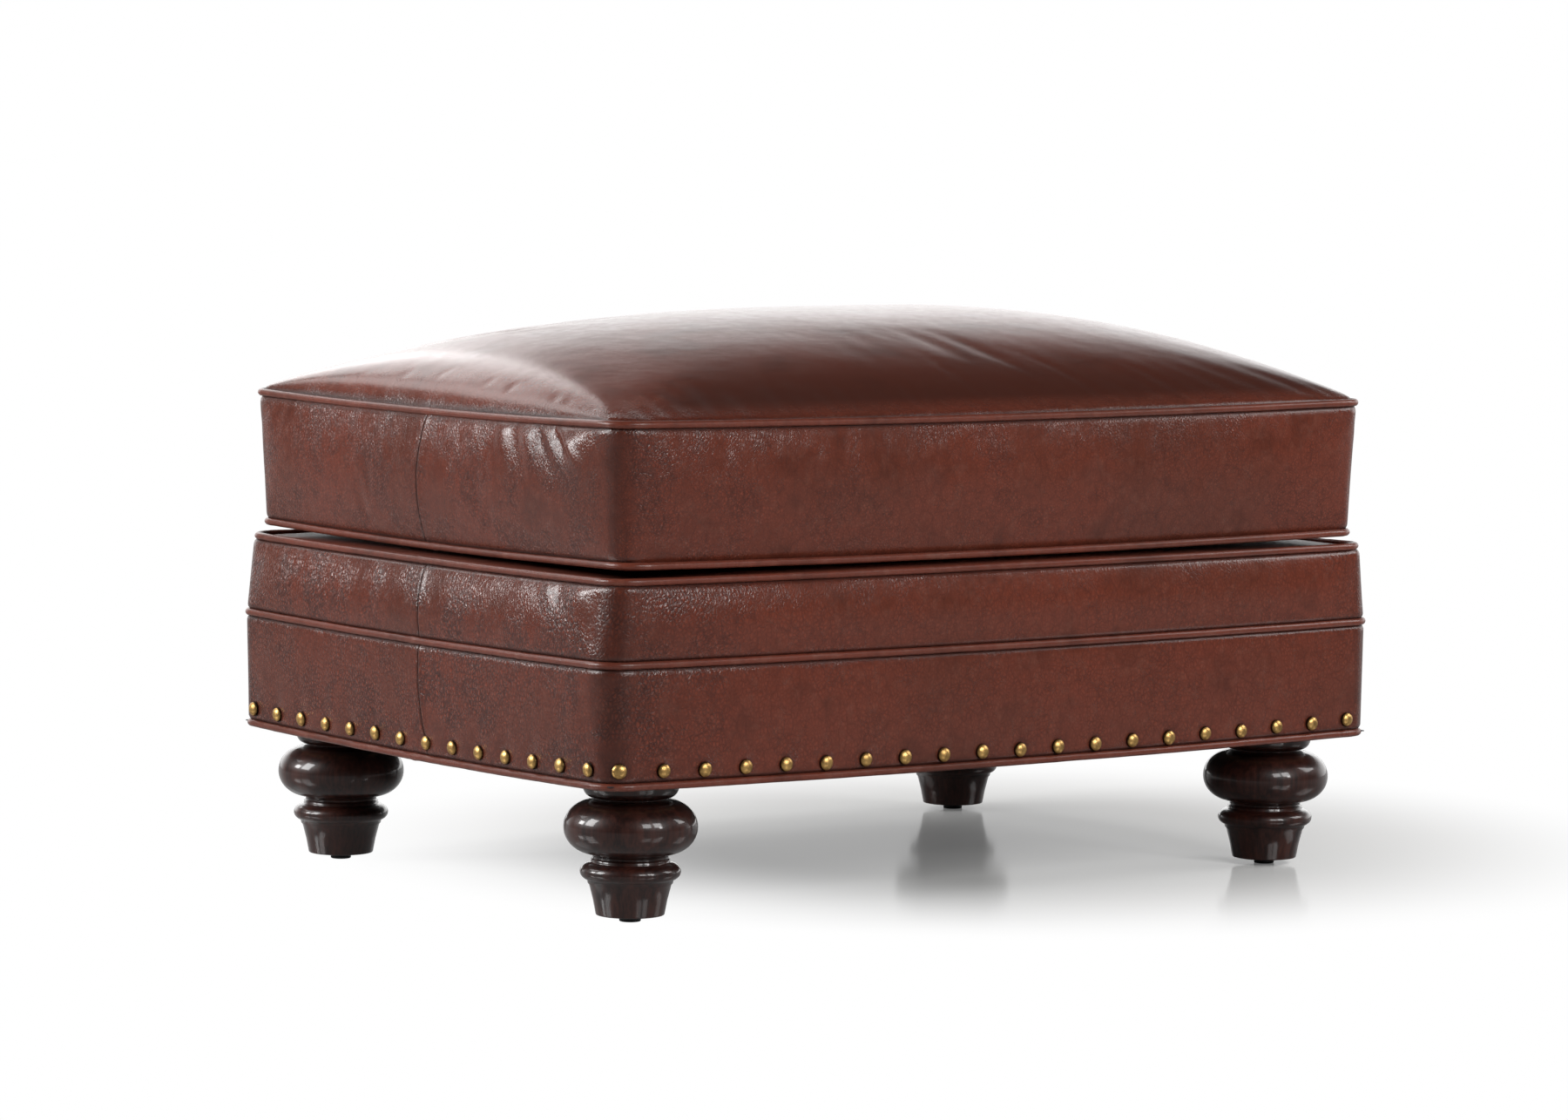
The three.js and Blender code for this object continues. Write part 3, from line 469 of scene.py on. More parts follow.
def planed_wood(name, long_axis, clipped=False):
    """Planed hardwood with its rings stretched along one axis."""
    finish = Finish(name)
    place = finish.place()
    scale = tuple(0.06 if axis == long_axis else 1.0 for axis in "XYZ")
    along = finish.warped(finish.stretched(place, scale), 9, 18 * MM)
    inputs = {"Vector": along, "Scale": 32.0, "Distortion": 2.5, "Detail": 3.0}
    rings = finish.node("ShaderNodeTexWave", inputs, wave_type="RINGS", rings_direction=long_axis)
    fibre = finish.noise(along, 620, detail=3, roughness=0.6)
    colour = finish.mix((rings * 0.6 + fibre * 0.4).held(), WOOD_PALE, WOOD_RING)
    roughness = 0.62 + fibre * 0.15
    metallic = 0.0
    if clipped:
        clip = finish.axis(place, "Z").step(RAIL_TOP, RAIL_TOP + 0.2 * MM)
        colour = finish.mix(clip, colour, CLIP_STEEL)
        roughness = roughness - clip * 0.35
        metallic = clip
    finish.relief(fibre * (0.05 * MM))
    finish.set(Base_Color=colour, Roughness=roughness, Metallic=metallic)
    return finish.owner


def plain_steel(name, bright, dull, rough):
    """Steel whose plating or oil film varies a little."""
    finish = Finish(name)
    place = finish.place()
    film = finish.noise(place, 160, detail=4, roughness=0.6)
    colour = finish.mix(film.step(0.4, 0.7), bright, dull)
    finish.relief(film * (0.04 * MM))
    finish.set(Base_Color=colour, Metallic=1.0, Roughness=rough + film * 0.15)
    return finish.owner


def woven(name, warp_colour, weft_colour, threads, height):
    """A plain weave: two sets of threads that pass over and under each other."""
    finish = Finish(name)
    place = finish.warped(finish.place(), 40, 0.8 * MM)
    fuzz = finish.noise(place, 2.2 * threads, detail=3)
    across = (finish.axis(place, "X") * (math.pi * threads)).sine()
    down = (finish.axis(place, "Y") * (math.pi * threads)).sine()
    over = across * down * 0.5 + 0.5
    colour = finish.mix((over * 0.7 + fuzz * 0.3).held(), warp_colour, weft_colour)
    finish.relief((over + fuzz * 0.4) * height)
    finish.set(Base_Color=colour, Roughness=0.9)
    return finish.owner


rail_wood = planed_wood("rail_wood", "X", clipped=True)
cross_wood = planed_wood("cross_wood", "Y")
block_wood = planed_wood("block_wood", "Z")
zinc = plain_steel("zinc_plate", (0.66, 0.67, 0.69), (0.45, 0.46, 0.48), 0.32)
wire_steel = plain_steel("spring_wire", (0.30, 0.31, 0.33), (0.12, 0.12, 0.13), 0.38)
burlap_weave = woven("burlap_weave", (0.36, 0.25, 0.13), (0.50, 0.37, 0.21), 480, 0.35 * MM)
cambric_weave = woven("cambric_weave", (0.012, 0.012, 0.013), (0.030, 0.030, 0.032), 1400, 0.06 * MM)

HIDDEN_FINISHES = {
    "front_rail": rail_wood, "back_rail": rail_wood, "left_rail": cross_wood, "right_rail": cross_wood,
    "centre_stretcher": cross_wood, "corner_block": block_wood, "hanger_bolt": zinc, "tee_nut": zinc,
    "sinuous_spring": wire_steel,
}
for start, finish in HIDDEN_FINISHES.items():
    for name, node in cad_nodes.items():
        if name.startswith(start):
            node.data.materials.clear()
            node.data.materials.append(finish)
print("hidden pieces finished:", ", ".join(HIDDEN_FINISHES))

# %% [markdown]
# Every leather piece ends at a seam, and every seam is a rounded rectangle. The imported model's welts say
# where the seams are. On the loose cushion the seams rise a little at the corners and draw in between them,
# and on the base they sag between them. A seam also tells a point of the leather how it lies to the seam:
# how far off, which way the nearest side faces, and how near a corner, where the leather is tight.

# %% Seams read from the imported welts
WELT_RADIUS = 3.0 * MM
WELT_RISE = WELT_RADIUS * math.sin(math.radians(60))
CORNER_RADIUS = 24 * MM
CORNER_FADE = 26 * MM
CUSHION_DRAW_IN = 3.0 * MM


class Seam:
    """The line that a welt follows round the stool."""

    def __init__(self, welt, drawn=0.0, sag=0.0):
        low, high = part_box(welt)
        self.welt = welt
        self.half_length = high.x - WELT_RADIUS
        self.half_depth = high.y - WELT_RADIUS
        self.height = low.z + WELT_RISE
        self.lift = high.z - low.z - 2 * WELT_RISE
        self.drawn = drawn
        self.sag = sag

    def rise(self, corner):
        """How far the seam stands over its height, from the middle of a side to a corner."""
        return self.lift * corner - self.sag * (1 - corner)

    def cornerness(self, x, y):
        """1 at the corners and 0 at the middle of each side."""
        across = np.clip(np.abs(x) / (self.half_length - CORNER_RADIUS), 0, 1)
        along = np.clip(np.abs(y) / (self.half_depth - CORNER_RADIUS), 0, 1)
        return across ** 2 * along ** 2

    def past_sides(self, points):
        """How far points lie past the straight stretches of the sides, along X and along Y."""
        over_x = np.abs(points[:, 0]) - (self.half_length - CORNER_RADIUS)
        over_y = np.abs(points[:, 1]) - (self.half_depth - CORNER_RADIUS)
        return over_x, over_y

    def outward(self, points):
        """The level direction in which the nearest side or corner arc faces."""
        over_x, over_y = self.past_sides(points)
        corner = (over_x > 0) & (over_y > 0)
        x = np.where(corner, over_x, (over_x >= over_y).astype(float))
        y = np.where(corner, over_y, (over_x < over_y).astype(float))
        size = np.maximum(np.hypot(x, y), 1e-9)
        return np.stack([np.sign(points[:, 0]) * x / size, np.sign(points[:, 1]) * y / size, 0 * x], 1)

    def fullness(self, points):
        """0 round the corners, rising to 1 along the sides."""
        return 1 - np.exp(np.minimum(np.minimum(*self.past_sides(points)), 0) / CORNER_FADE)

    def distance(self, points):
        """How far points lie from the seam's line."""
        corner = self.cornerness(points[:, 0], points[:, 1])
        over_x, over_y = self.past_sides(points)
        past = np.hypot(np.maximum(over_x, 0), np.maximum(over_y, 0))
        short = np.minimum(np.maximum(over_x, over_y), 0)
        inside = past + short - CORNER_RADIUS + self.drawn * (1 - corner)
        return np.hypot(inside, points[:, 2] - self.height - self.rise(corner))


cushion_top = Seam("cushion_top_welt", drawn=CUSHION_DRAW_IN)
cushion_bottom = Seam("cushion_bottom_welt", drawn=CUSHION_DRAW_IN)
deck_seam = Seam("deck_welt", sag=1.5 * MM)
middle_seam = Seam("middle_welt", sag=2.0 * MM)
bottom_edge = Seam("bottom_welt", sag=2.5 * MM)
for seam in (cushion_top, cushion_bottom, deck_seam, middle_seam, bottom_edge):
    print(seam.welt, "at", round(seam.height, 4), "m, lift", round(seam.lift, 4))

# %% [markdown]
# A few helpers serve every leather piece: they write a mesh to an object and read and move its points. Two
# more bend the upright seam at the middle of each short side, which wanders as it runs down from one welt to
# the next. The last one stores painted shade for the leather: beside the welts, round the nails, along the
# upright seam and round the upright corners.

# %% Small helpers for meshes
CREVICE_WIDTH = 2.2 * MM
NAIL_RADIUS = 6.0 * MM
NAIL_SHADE = 0.5
SIDE_SEAM_Y = 0.0
SEAM_CUT = 1.1 * MM
SEAM_CREVICE = 1.5 * MM
SEAM_DRIFT_WIDTH = 60 * MM
SEAM_DRIFTS = [
    (bottom_edge.height, -20 * MM), (middle_seam.height - 40 * MM, -11 * MM),
    (middle_seam.height, -9 * MM), (middle_seam.height + 6 * MM, -12 * MM),
    (deck_seam.height, -8 * MM), (deck_seam.height + 2 * MM, -8 * MM),
    (cushion_bottom.height, 12 * MM), (cushion_top.height - 50 * MM, 8 * MM), (cushion_top.height, 0),
]
SHORT_SIDE_FROM = deck_seam.half_length - 30 * MM
CORNER_PAINTED_SHADE, CORNER_PAINTED_SHADE_POWER = 0.46, 0.7


def finished(mesh, name, finish):
    """Writes a bmesh to a new object at the origin, with its faces smooth and pointing out."""
    bmesh.ops.recalc_face_normals(mesh, faces=mesh.faces)
    data = bpy.data.meshes.new(name)
    mesh.to_mesh(data)
    mesh.free()
    return shown(data, name, finish)


def dress(data, finish):
    """Makes a mesh smooth and gives it its one finish."""
    data.polygons.foreach_set("use_smooth", [True] * len(data.polygons))
    data.materials.clear()
    data.materials.append(finish)


def shown(data, name, finish):
    """Puts a mesh in the scene as a piece at the origin."""
    dress(data, finish)
    piece = bpy.data.objects.new(name, data)
    bpy.context.scene.collection.objects.link(piece)
    return piece


def points_of(piece):
    """The corners of a piece's mesh as rows of x, y and z."""
    points = np.empty(3 * len(piece.data.vertices))
    piece.data.vertices.foreach_get("co", points)
    return points.reshape(-1, 3)


def put_points(piece, points):
    """Moves the corners of a piece's mesh."""
    piece.data.vertices.foreach_set("co", np.ascontiguousarray(points, dtype=np.float32).ravel())
    piece.data.update()


def bell(distance, width):
    """1 at no distance, falling away smoothly over a width."""
    return np.exp(-(distance / width) ** 2)


def seam_drift(height):
    """How far the upright seam of a short side wanders to the back at a height."""
    return np.interp(height, *zip(*SEAM_DRIFTS))


def bend_seam(points):
    """Bends the leather of both short sides, so that the straight cut for the seam follows its drift."""
    ends = np.abs(points[:, 0]) > SHORT_SIDE_FROM
    points[:, 1] += ends * seam_drift(points[:, 2]) * bell(points[:, 1] - SIDE_SEAM_Y, SEAM_DRIFT_WIDTH)


def paint_crevice_shade(piece, seams, nails=()):
    """Stores painted shade for each point: beside welts, nails and the upright seam, and round the corners.
    """
    points = points_of(piece)
    depth = np.zeros(len(points))
    for seam in seams:
        depth = np.maximum(depth, bell(seam.distance(points) - WELT_RADIUS, CREVICE_WIDTH))
    for place, _ in nails:
        away = np.linalg.norm(points - np.array(place), axis=1)
        depth = np.maximum(depth, NAIL_SHADE * bell(np.maximum(away - NAIL_RADIUS, 0), CREVICE_WIDTH / 2))
    on_end = np.abs(points[:, 0]) > SHORT_SIDE_FROM + 10 * MM
    below_top = points[:, 2] < cushion_top.height
    seam_y = SIDE_SEAM_Y + seam_drift(points[:, 2])
    depth = np.maximum(depth, bell(points[:, 1] - seam_y, SEAM_CREVICE) * on_end * below_top)
    # Painted shade round the upright corners, strongest half way round each arc.
    ways = middle_seam.outward(points)
    turn = 2 * np.abs(ways[:, 0] * ways[:, 1])
    depth = np.maximum(depth, CORNER_PAINTED_SHADE * turn ** CORNER_PAINTED_SHADE_POWER * below_top)
    piece.data.attributes.new("painted_shade", "FLOAT", "POINT").data.foreach_set("value", depth)


print("helpers ready")

# %% [markdown]
# A welt is a cord in a strip of leather, sewn into the seam. Here it is a curve with a round section that
# follows the seam, with small changes of thickness and height so that it looks sewn and not extruded. Where
# the strip's two ends meet, at the side seam, it is a little thicker.

# %% Welts
SIDE_STEPS = 90
CORNER_STEPS = 9
WELT_JOIN_SWELL, WELT_JOIN_REACH = 0.16, 5 * MM
WELT_UNEVEN = 0.02
WELT_SWAY, WELT_SWAY_KEPT = 0.06 * MM, 0.8
welt_dice = random.Random(7)


def seam_points(seam):
    """Points along a seam, each with its outward direction and how near a corner it lies, from 0 to 1."""
    places = []
    straight_x, straight_y = seam.half_length - CORNER_RADIUS, seam.half_depth - CORNER_RADIUS
    for quarter in range(4):
        across = 1 if quarter in (0, 3) else -1
        along = 1 if quarter < 2 else -1
        middle = Vector((across * straight_x, along * straight_y))
        for step in range(CORNER_STEPS + 1):
            angle = (quarter + step / CORNER_STEPS) * math.pi / 2
            way = Vector((math.cos(angle), math.sin(angle)))
            places.append((middle + CORNER_RADIUS * way, way, 1.0))
        start = places[-1][0]
        run = 2 * (straight_x if quarter % 2 == 0 else straight_y)
        onward = Vector((-way.y, way.x))
        for step in range(1, SIDE_STEPS):
            share = step / SIDE_STEPS
            places.append((start + onward * run * share, way, (2 * share - 1) ** 2))
    return places


def make_welt(seam, body):
    """A welt along a seam: a curve with a round section, made a mesh."""
    name = f"piped_{seam.welt}"
    line = bpy.data.curves.new(name, "CURVE")
    line.dimensions = "3D"
    line.bevel_depth = WELT_RADIUS
    line.bevel_resolution = 4
    places = seam_points(seam)
    spline = line.splines.new("POLY")
    spline.points.add(len(places) - 1)
    spline.use_cyclic_u = True
    sway = 0.0
    for point, (place, way, corner) in zip(spline.points, places):
        sway = WELT_SWAY_KEPT * sway + welt_dice.uniform(-1, 1)
        flat = place - way * seam.drawn * (1 - corner)
        point.co = (flat.x, flat.y, seam.height + seam.rise(corner) + sway * WELT_SWAY, 1)
        join = abs(place.y - SIDE_SEAM_Y) < WELT_JOIN_REACH and place.x < 0
        point.radius = 1 + welt_dice.uniform(-WELT_UNEVEN, WELT_UNEVEN) + (WELT_JOIN_SWELL if join else 0)
    cord = bpy.data.objects.new(name, line)
    bpy.context.scene.collection.objects.link(cord)
    bpy.context.view_layer.update()
    data = bpy.data.meshes.new_from_object(cord)
    bpy.data.objects.remove(cord)
    data.name = name
    piece = shown(data, name, welt_leather)
    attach(piece, body)
    return piece


for seam, body in ((cushion_top, "cushion"), (cushion_bottom, "cushion"), (deck_seam, "base"),
                   (middle_seam, "base"), (bottom_edge, "base")):
    welt = make_welt(seam, body)
    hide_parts(seam.welt)
    print(welt.name, len(welt.data.polygons), "faces")

# %% [markdown]
# The cushion is a boxed cover over foam. It starts as a block with round upright edges, is cut into an even
# net of small faces, and is pushed into its form: a crowned top, sides that belly out, and seams that draw
# in between the corners. A short cloth simulation then blows it up against its pinned seams, which gives the
# leather the soft pull lines that a real cover has.

# %% Cushion form
COVER_STAND = 1.5 * MM
CORNER_SEGMENTS = 8
BOXING_BULGE = 9.0 * MM
RIM_POWER = 6
COVER_VOXEL = 5 * MM
SWELL_RISE = 4 * MM
CROWN_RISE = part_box("cushion_top_panel")[1].z - cushion_top.height - 1.5 * MM - SWELL_RISE
CROWN_LENGTH_POWER, CROWN_LENGTH_EDGE = 2.7, 0.36
CROWN_DEPTH_POWER, CROWN_DEPTH_EDGE = 2.4, 0.70
CROWN_SHIFT_X, CROWN_SHIFT_Y = 0.22, 0.16
SEAM_GROOVE = 2.6 * MM
SEAM_GROOVE_WIDTH = 3.2 * MM
SEAM_DEPTH = 1.6 * MM
SEAM_LIP, SEAM_LIP_REACH, SEAM_LIP_FADE = 0.9 * MM, 2 * MM, 4 * MM
BELLY_EASE = 0.5 * MM


def crown_height(x, y):
    """How far the top panel stands over its seam."""
    u = np.clip(x / cushion_top.half_length, -1, 1)
    v = np.clip(y / cushion_top.half_depth, -1, 1)
    u = u - CROWN_SHIFT_X * (1 - u * u)
    v = v - CROWN_SHIFT_Y * (1 - v * v)
    length_share = np.clip(1 - np.abs(u) ** CROWN_LENGTH_POWER, 0, 1) ** CROWN_LENGTH_EDGE
    depth_share = np.clip(1 - np.abs(v) ** CROWN_DEPTH_POWER, 0, 1) ** CROWN_DEPTH_EDGE
    return CROWN_RISE * length_share * depth_share


def rounded_block(half_length, half_depth, low, high, radius):
    """A block with its upright edges rounded."""
    mesh = bmesh.new()
    bmesh.ops.create_cube(mesh, size=2)
    bmesh.ops.scale(mesh, vec=(half_length, half_depth, (high - low) / 2), verts=mesh.verts)
    bmesh.ops.translate(mesh, vec=(0, 0, (high + low) / 2), verts=mesh.verts)
    uprights = [edge for edge in mesh.edges
                if abs(edge.verts[0].co.z - edge.verts[1].co.z) > (high - low) / 2]
    bmesh.ops.bevel(mesh, geom=uprights, offset=radius, offset_type="OFFSET", segments=CORNER_SEGMENTS,
                    profile=0.5, affect="EDGES", material=-1)
    return mesh


def modified(piece, kind, **settings):
    """Gives a piece a modifier and bakes it into its mesh."""
    modifier = piece.modifiers.new(kind.lower(), kind)
    for name, value in settings.items():
        setattr(modifier, name, value)
    finish = piece.data.materials[0]
    bpy.context.view_layer.update()
    seen = piece.evaluated_get(bpy.context.evaluated_depsgraph_get())
    data = bpy.data.meshes.new_from_object(seen)
    piece.modifiers.clear()
    old = piece.data
    piece.data = data
    bpy.data.meshes.remove(old)
    data.name = piece.name
    dress(data, finish)


def cushion_form(points):
    """Moves the points of a plain block into the form of the cushion."""
    span = cushion_top.height - cushion_bottom.height
    rise = np.clip((points[:, 2] - cushion_bottom.height) / span, 0, 1)
    fullness = 4 * rise * (1 - rise)
    corner = cushion_top.cornerness(points[:, 0], points[:, 1])
    shrink = (cushion_bottom.half_length - cushion_top.half_length) * (1 - rise)
    u = np.abs(points[:, 0]) / cushion_top.half_length
    v = np.abs(points[:, 1]) / cushion_top.half_depth
    rim = np.maximum(u, v) ** RIM_POWER
    bulge = (BOXING_BULGE - SWELL_RISE) * fullness * cushion_top.fullness(points)
    out = (bulge + shrink - CUSHION_DRAW_IN * (1 - corner) * (1 - fullness)) * rim
    moved = points + cushion_top.outward(points) * out[:, None]
    moved[:, 2] += cushion_top.lift * corner
    on_top = np.clip((points[:, 2] - cushion_top.height + COVER_VOXEL) / COVER_VOXEL, 0, 1)
    moved[:, 2] += crown_height(points[:, 0], points[:, 1]) * on_top
    return moved


block = rounded_block(cushion_top.half_length + COVER_STAND, cushion_top.half_depth + COVER_STAND,
                      cushion_bottom.height - BELLY_EASE, cushion_top.height + BELLY_EASE,
                      CORNER_RADIUS + COVER_STAND)
cover = finished(block, "cushion_cover", cushion_leather)
modified(cover, "REMESH", mode="VOXEL", voxel_size=COVER_VOXEL)
put_points(cover, cushion_form(points_of(cover)))
print("cushion net of", len(cover.data.vertices), "points")

# %% [markdown]
# The simulation holds the two seams still and presses from inside. A soft piece that could swell without
# end would lose its shape, so no point may move further than a set length, which is shortest at the tight
# corners. The form before it is a little too small, to leave room for the swelling.

# %% Blow up the cushion
SWELL_FRAMES = 20
COVER_SLACK = 0.001
COVER_PRESSURE = 4.0
COVER_CLOTH = dict(quality=6, mass=0.4, tension_stiffness=40, compression_stiffness=40, shear_stiffness=15,
                   bending_stiffness=4, use_pressure=True, uniform_pressure_force=COVER_PRESSURE,
                   shrink_min=-COVER_SLACK)
COVER_CAP = 5 * MM
CORNER_CAP = 0.5 * MM
PINNED_REACH = 7 * MM


def swell(piece, pinned, cap):
    """Blows up a padded piece against its pinned points. Cap says how far each point may move."""
    start = points_of(piece)
    pins = piece.vertex_groups.new(name="pins")
    pins.add([int(index) for index in np.flatnonzero(pinned)], 1.0, "REPLACE")
    cloth = piece.modifiers.new("blown_up", "CLOTH")
    for name, value in COVER_CLOTH.items():
        setattr(cloth.settings, name, value)
    cloth.settings.effector_weights.gravity = 0
    cloth.settings.vertex_group_mass = pins.name
    cloth.collision_settings.use_collision = False
    for number in range(1, SWELL_FRAMES + 1):
        bpy.context.scene.frame_set(number)
    blown_up = points_of(piece.evaluated_get(bpy.context.evaluated_depsgraph_get()))
    piece.modifiers.clear()
    piece.vertex_groups.clear()
    bpy.context.scene.frame_set(1)
    move = blown_up - start
    length = np.linalg.norm(move, axis=1, keepdims=True)
    held = cap[:, None] * np.tanh(length / cap[:, None])
    put_points(piece, start + move * held / np.maximum(length, 1e-9))
    print(piece.name, "swelled by", round(float(held.max()) / MM, 1), "mm at most")


net = points_of(cover)
pinned = np.minimum(cushion_top.distance(net), cushion_bottom.distance(net)) < PINNED_REACH
pinned |= net[:, 2] < cushion_bottom.height + cushion_bottom.lift
swell(cover, pinned, CORNER_CAP + (COVER_CAP - CORNER_CAP) * cushion_top.fullness(net))

# %% [markdown]
# One subdivision makes the net fine enough for what is smaller than it: the groove at each seam in which the
# welt lies, the upright seam at the middle of each short side, and the ridges where the boxing is gathered
# beside the near corner. Each ridge has a hollow behind it, fades in under the welt and out lower down.

# %% Seams and gathered ridges of the cushion
# Each ridge's start from the front corner, length down, height and width in millimetres, and its slant
BOXING_RIDGES = [
    dict(along=58, length=50, height=2.6, width=15.0, slant=0.12),
    dict(along=82, length=34, height=2.4, width=7.0, slant=1.0),
    dict(along=101, length=38, height=2.2, width=7.0, slant=0.62),
    dict(along=130, length=42, height=1.6, width=10.0, slant=0.36),
    dict(along=165, length=38, height=1.0, width=10.0, slant=0.25),
    dict(along=205, length=34, height=0.7, width=11.0, slant=0.15),
]
UPPER_BAND_RIDGES = [
    dict(along=46, length=30, height=2.0, width=13.0, slant=0.15),
    dict(along=64, length=22, height=1.2, width=7.0, slant=0.30),
    dict(along=92, length=20, height=1.1, width=7.0, slant=0.20),
    dict(along=128, length=20, height=0.7, width=9.0, slant=0.15),
]
RIDGE_WHOLE_FROM, RIDGE_WHOLE_TO, RIDGE_FADE = 0.25, 0.4, 0.45
HOLLOW_DEPTH, HOLLOW_AWAY = 0.5, 1.7
SEAM_CUTS = [-7, -4.5, -2.8, -1.7, -1.0, -0.5, 0, 0.5, 1.0, 1.8, 3.5]
SAME_PLACE = 0.01 * MM


def groove(points, seam):
    """Draws the surface in towards the middle of the piece along a seam."""
    pull = SEAM_GROOVE * bell(seam.distance(points), SEAM_GROOVE_WIDTH)
    points -= seam.outward(points) * pull[:, None]


def cut_for_seam(mesh):
    """Cuts upright lines into both short sides, close together where the seam lies."""
    for cut in SEAM_CUTS:
        ends = [face for face in mesh.faces if abs(face.calc_center_median().x) > SHORT_SIDE_FROM
                and abs(face.normal.x) > 0.5]
        edges = {edge for face in ends for edge in face.edges}
        verts = {vert for face in ends for vert in face.verts}
        bmesh.ops.bisect_plane(mesh, geom=[*verts, *edges, *ends], dist=SAME_PLACE,
                               plane_co=(0, SIDE_SEAM_Y + cut * MM, 0), plane_no=(0, 1, 0))


def side_seam(points, low, high):
    """Sinks the upright seam of both short sides, and lifts the side that its turned edge lies under."""
    ends = (np.abs(points[:, 0]) > SHORT_SIDE_FROM) & (points[:, 2] > low) & (points[:, 2] < high)
    away = points[:, 1] - SIDE_SEAM_Y
    lip = SEAM_LIP * bell(np.maximum(-away - SEAM_LIP_REACH, 0), SEAM_LIP_FADE) * (away < 0)
    profile = lip - SEAM_DEPTH * bell(away, SEAM_CUT)
    points[:, 0] += np.sign(points[:, 0]) * profile * ends


def add_ridges(points, ridges, top, corner_y):
    """Raises slanting ridges under the welt of the left side, where the leather is gathered."""
    left = points[:, 0] < -SHORT_SIDE_FROM - 6 * MM
    for ridge in ridges:
        down = (top - points[:, 2]) / (ridge["length"] * MM)
        centre = corner_y + (ridge["along"] - ridge["slant"] * ridge["length"] * down) * MM
        fade_in = np.clip(down / RIDGE_WHOLE_FROM, 0, 1)
        fade_out = bell(np.maximum(down - RIDGE_WHOLE_TO, 0), RIDGE_FADE)
        across = (points[:, 1] - centre) / (ridge["width"] * MM)
        shape = bell(across, 1) - HOLLOW_DEPTH * bell(across - HOLLOW_AWAY, 1)
        points[:, 0] -= left * fade_in * fade_out * shape * ridge["height"] * MM


modified(cover, "SUBSURF", levels=1, render_levels=1)
fine_mesh = bmesh.new()
fine_mesh.from_mesh(cover.data)
cut_for_seam(fine_mesh)
fine_mesh.to_mesh(cover.data)
fine_mesh.free()
fine = points_of(cover)
groove(fine, cushion_top)
groove(fine, cushion_bottom)
side_seam(fine, cushion_bottom.height, cushion_top.height)
add_ridges(fine, BOXING_RIDGES, cushion_top.height, -cushion_top.half_depth)
bend_seam(fine)
put_points(cover, fine)
paint_crevice_shade(cover, (cushion_top, cushion_bottom))
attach(cover, "cushion")
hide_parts("cushion_top_panel", "cushion_bottom_panel", "cushion_boxing_front", "cushion_boxing_back",
            "lower_fibre_wrap", "foam_core", "upper_fibre_wrap")
print("cushion cover of", len(cover.data.polygons), "faces, top at", round(float(fine[:, 2].max()), 4))

# %% [markdown]
# A row of domed nails holds the lower band along its bottom edge. Their places come before the band, because
# the leather is drawn in at each of them. Each row is made once and turned half way round, and a nail past
# the end of the straight stretch sits on the corner's arc.

# %% Places of the nails
BAND_STAND = 1.5 * MM
NAIL_RISE = 12.5 * MM
NAILS_LONG, NAILS_SHORT = 20, 14
LONG_ROW_STARTS_IN, LONG_ROW_ENDS_IN = 11 * MM, 27.5 * MM
SHORT_ROW_ENDS_IN = 25.5 * MM
LONG_ROW_SAG, SHORT_ROW_SAG = 5.0 * MM, 2.0 * MM


def nail_on_front(x):
    """A nail on the front at a place along it. Past the flat, it sits on the corner arc and turns with it."""
    bend = CORNER_RADIUS + BAND_STAND
    past = max(abs(x) - (bottom_edge.half_length - CORNER_RADIUS), 0)
    turn = math.copysign(math.asin(min(past / bend, 1)), x)
    y = -(bottom_edge.half_depth + BAND_STAND) + bend * (1 - math.cos(turn))
    height = bottom_edge.height + NAIL_RISE - LONG_ROW_SAG * (1 - (x / bottom_edge.half_length) ** 2)
    return Vector((x, y, height)), Vector((math.sin(turn), -math.cos(turn), 0))


def nail_on_left(y):
    """A nail on the left side at a place along it."""
    height = bottom_edge.height + NAIL_RISE - SHORT_ROW_SAG * (1 - (y / bottom_edge.half_depth) ** 2)
    return Vector((-bottom_edge.half_length - BAND_STAND, y, height)), Vector((-1, 0, 0))


def nail_places():
    """The place and the outward direction of every nail."""
    first = -(bottom_edge.half_length - LONG_ROW_STARTS_IN)
    last = bottom_edge.half_length - LONG_ROW_ENDS_IN
    reach = bottom_edge.half_depth - SHORT_ROW_ENDS_IN
    rows = [nail_on_front(x) for x in np.linspace(first, last, NAILS_LONG)]
    rows += [nail_on_left(y) for y in np.linspace(-reach, reach, NAILS_SHORT)]
    half_turn = Matrix.Rotation(math.pi, 3, "Z")
    return rows + [(half_turn @ place, half_turn @ way) for place, way in rows]


nails = nail_places()
print(len(nails), "nails")

# %% [markdown]
# The base is wrapped in two leather bands over padding. Each is an upright wall round the stool: a block
# with round corners, its top and bottom taken off, cut into a fine grid and pushed out between its seams.
# Its edges roll in behind the welts, and are then joined across the inside so that the band is closed. Each
# nail pulls the lower band in round itself and in a short trail above, so that the leather stands up softly
# between two nails.

# %% Upper and lower band
BAND_ROWS = 26
BAND_PITCH = 4 * MM
BAND_DEPTH = 11 * MM
BAND_UNDER_WELT = 0.4 * WELT_RADIUS
EDGE_ROLL = 3.4 * MM
EDGE_ROLL_WIDTH = 2.4 * MM
UPPER_BULGE = 5.0 * MM
LOWER_BULGE = 1.5 * MM
FOLD_COUNT = 60
FOLD_REACH_SHORT, FOLD_REACH_LONG = 0.29, 0.40
FOLD_DEPTH, FOLD_HEIGHT, FOLD_LEAN = 0.35 * MM, 0.45, 0.5
FOLD_WIDTH_LEAST, FOLD_WIDTH_MOST = 8 * MM, 26 * MM
DIMPLE_DEPTH, DIMPLE_WIDTH = 1.5 * MM, 8 * MM
TRAIL_SHARE, TRAIL_WIDTH, TRAIL_HEIGHT = 0.35, 0.7 * DIMPLE_WIDTH, 26 * MM


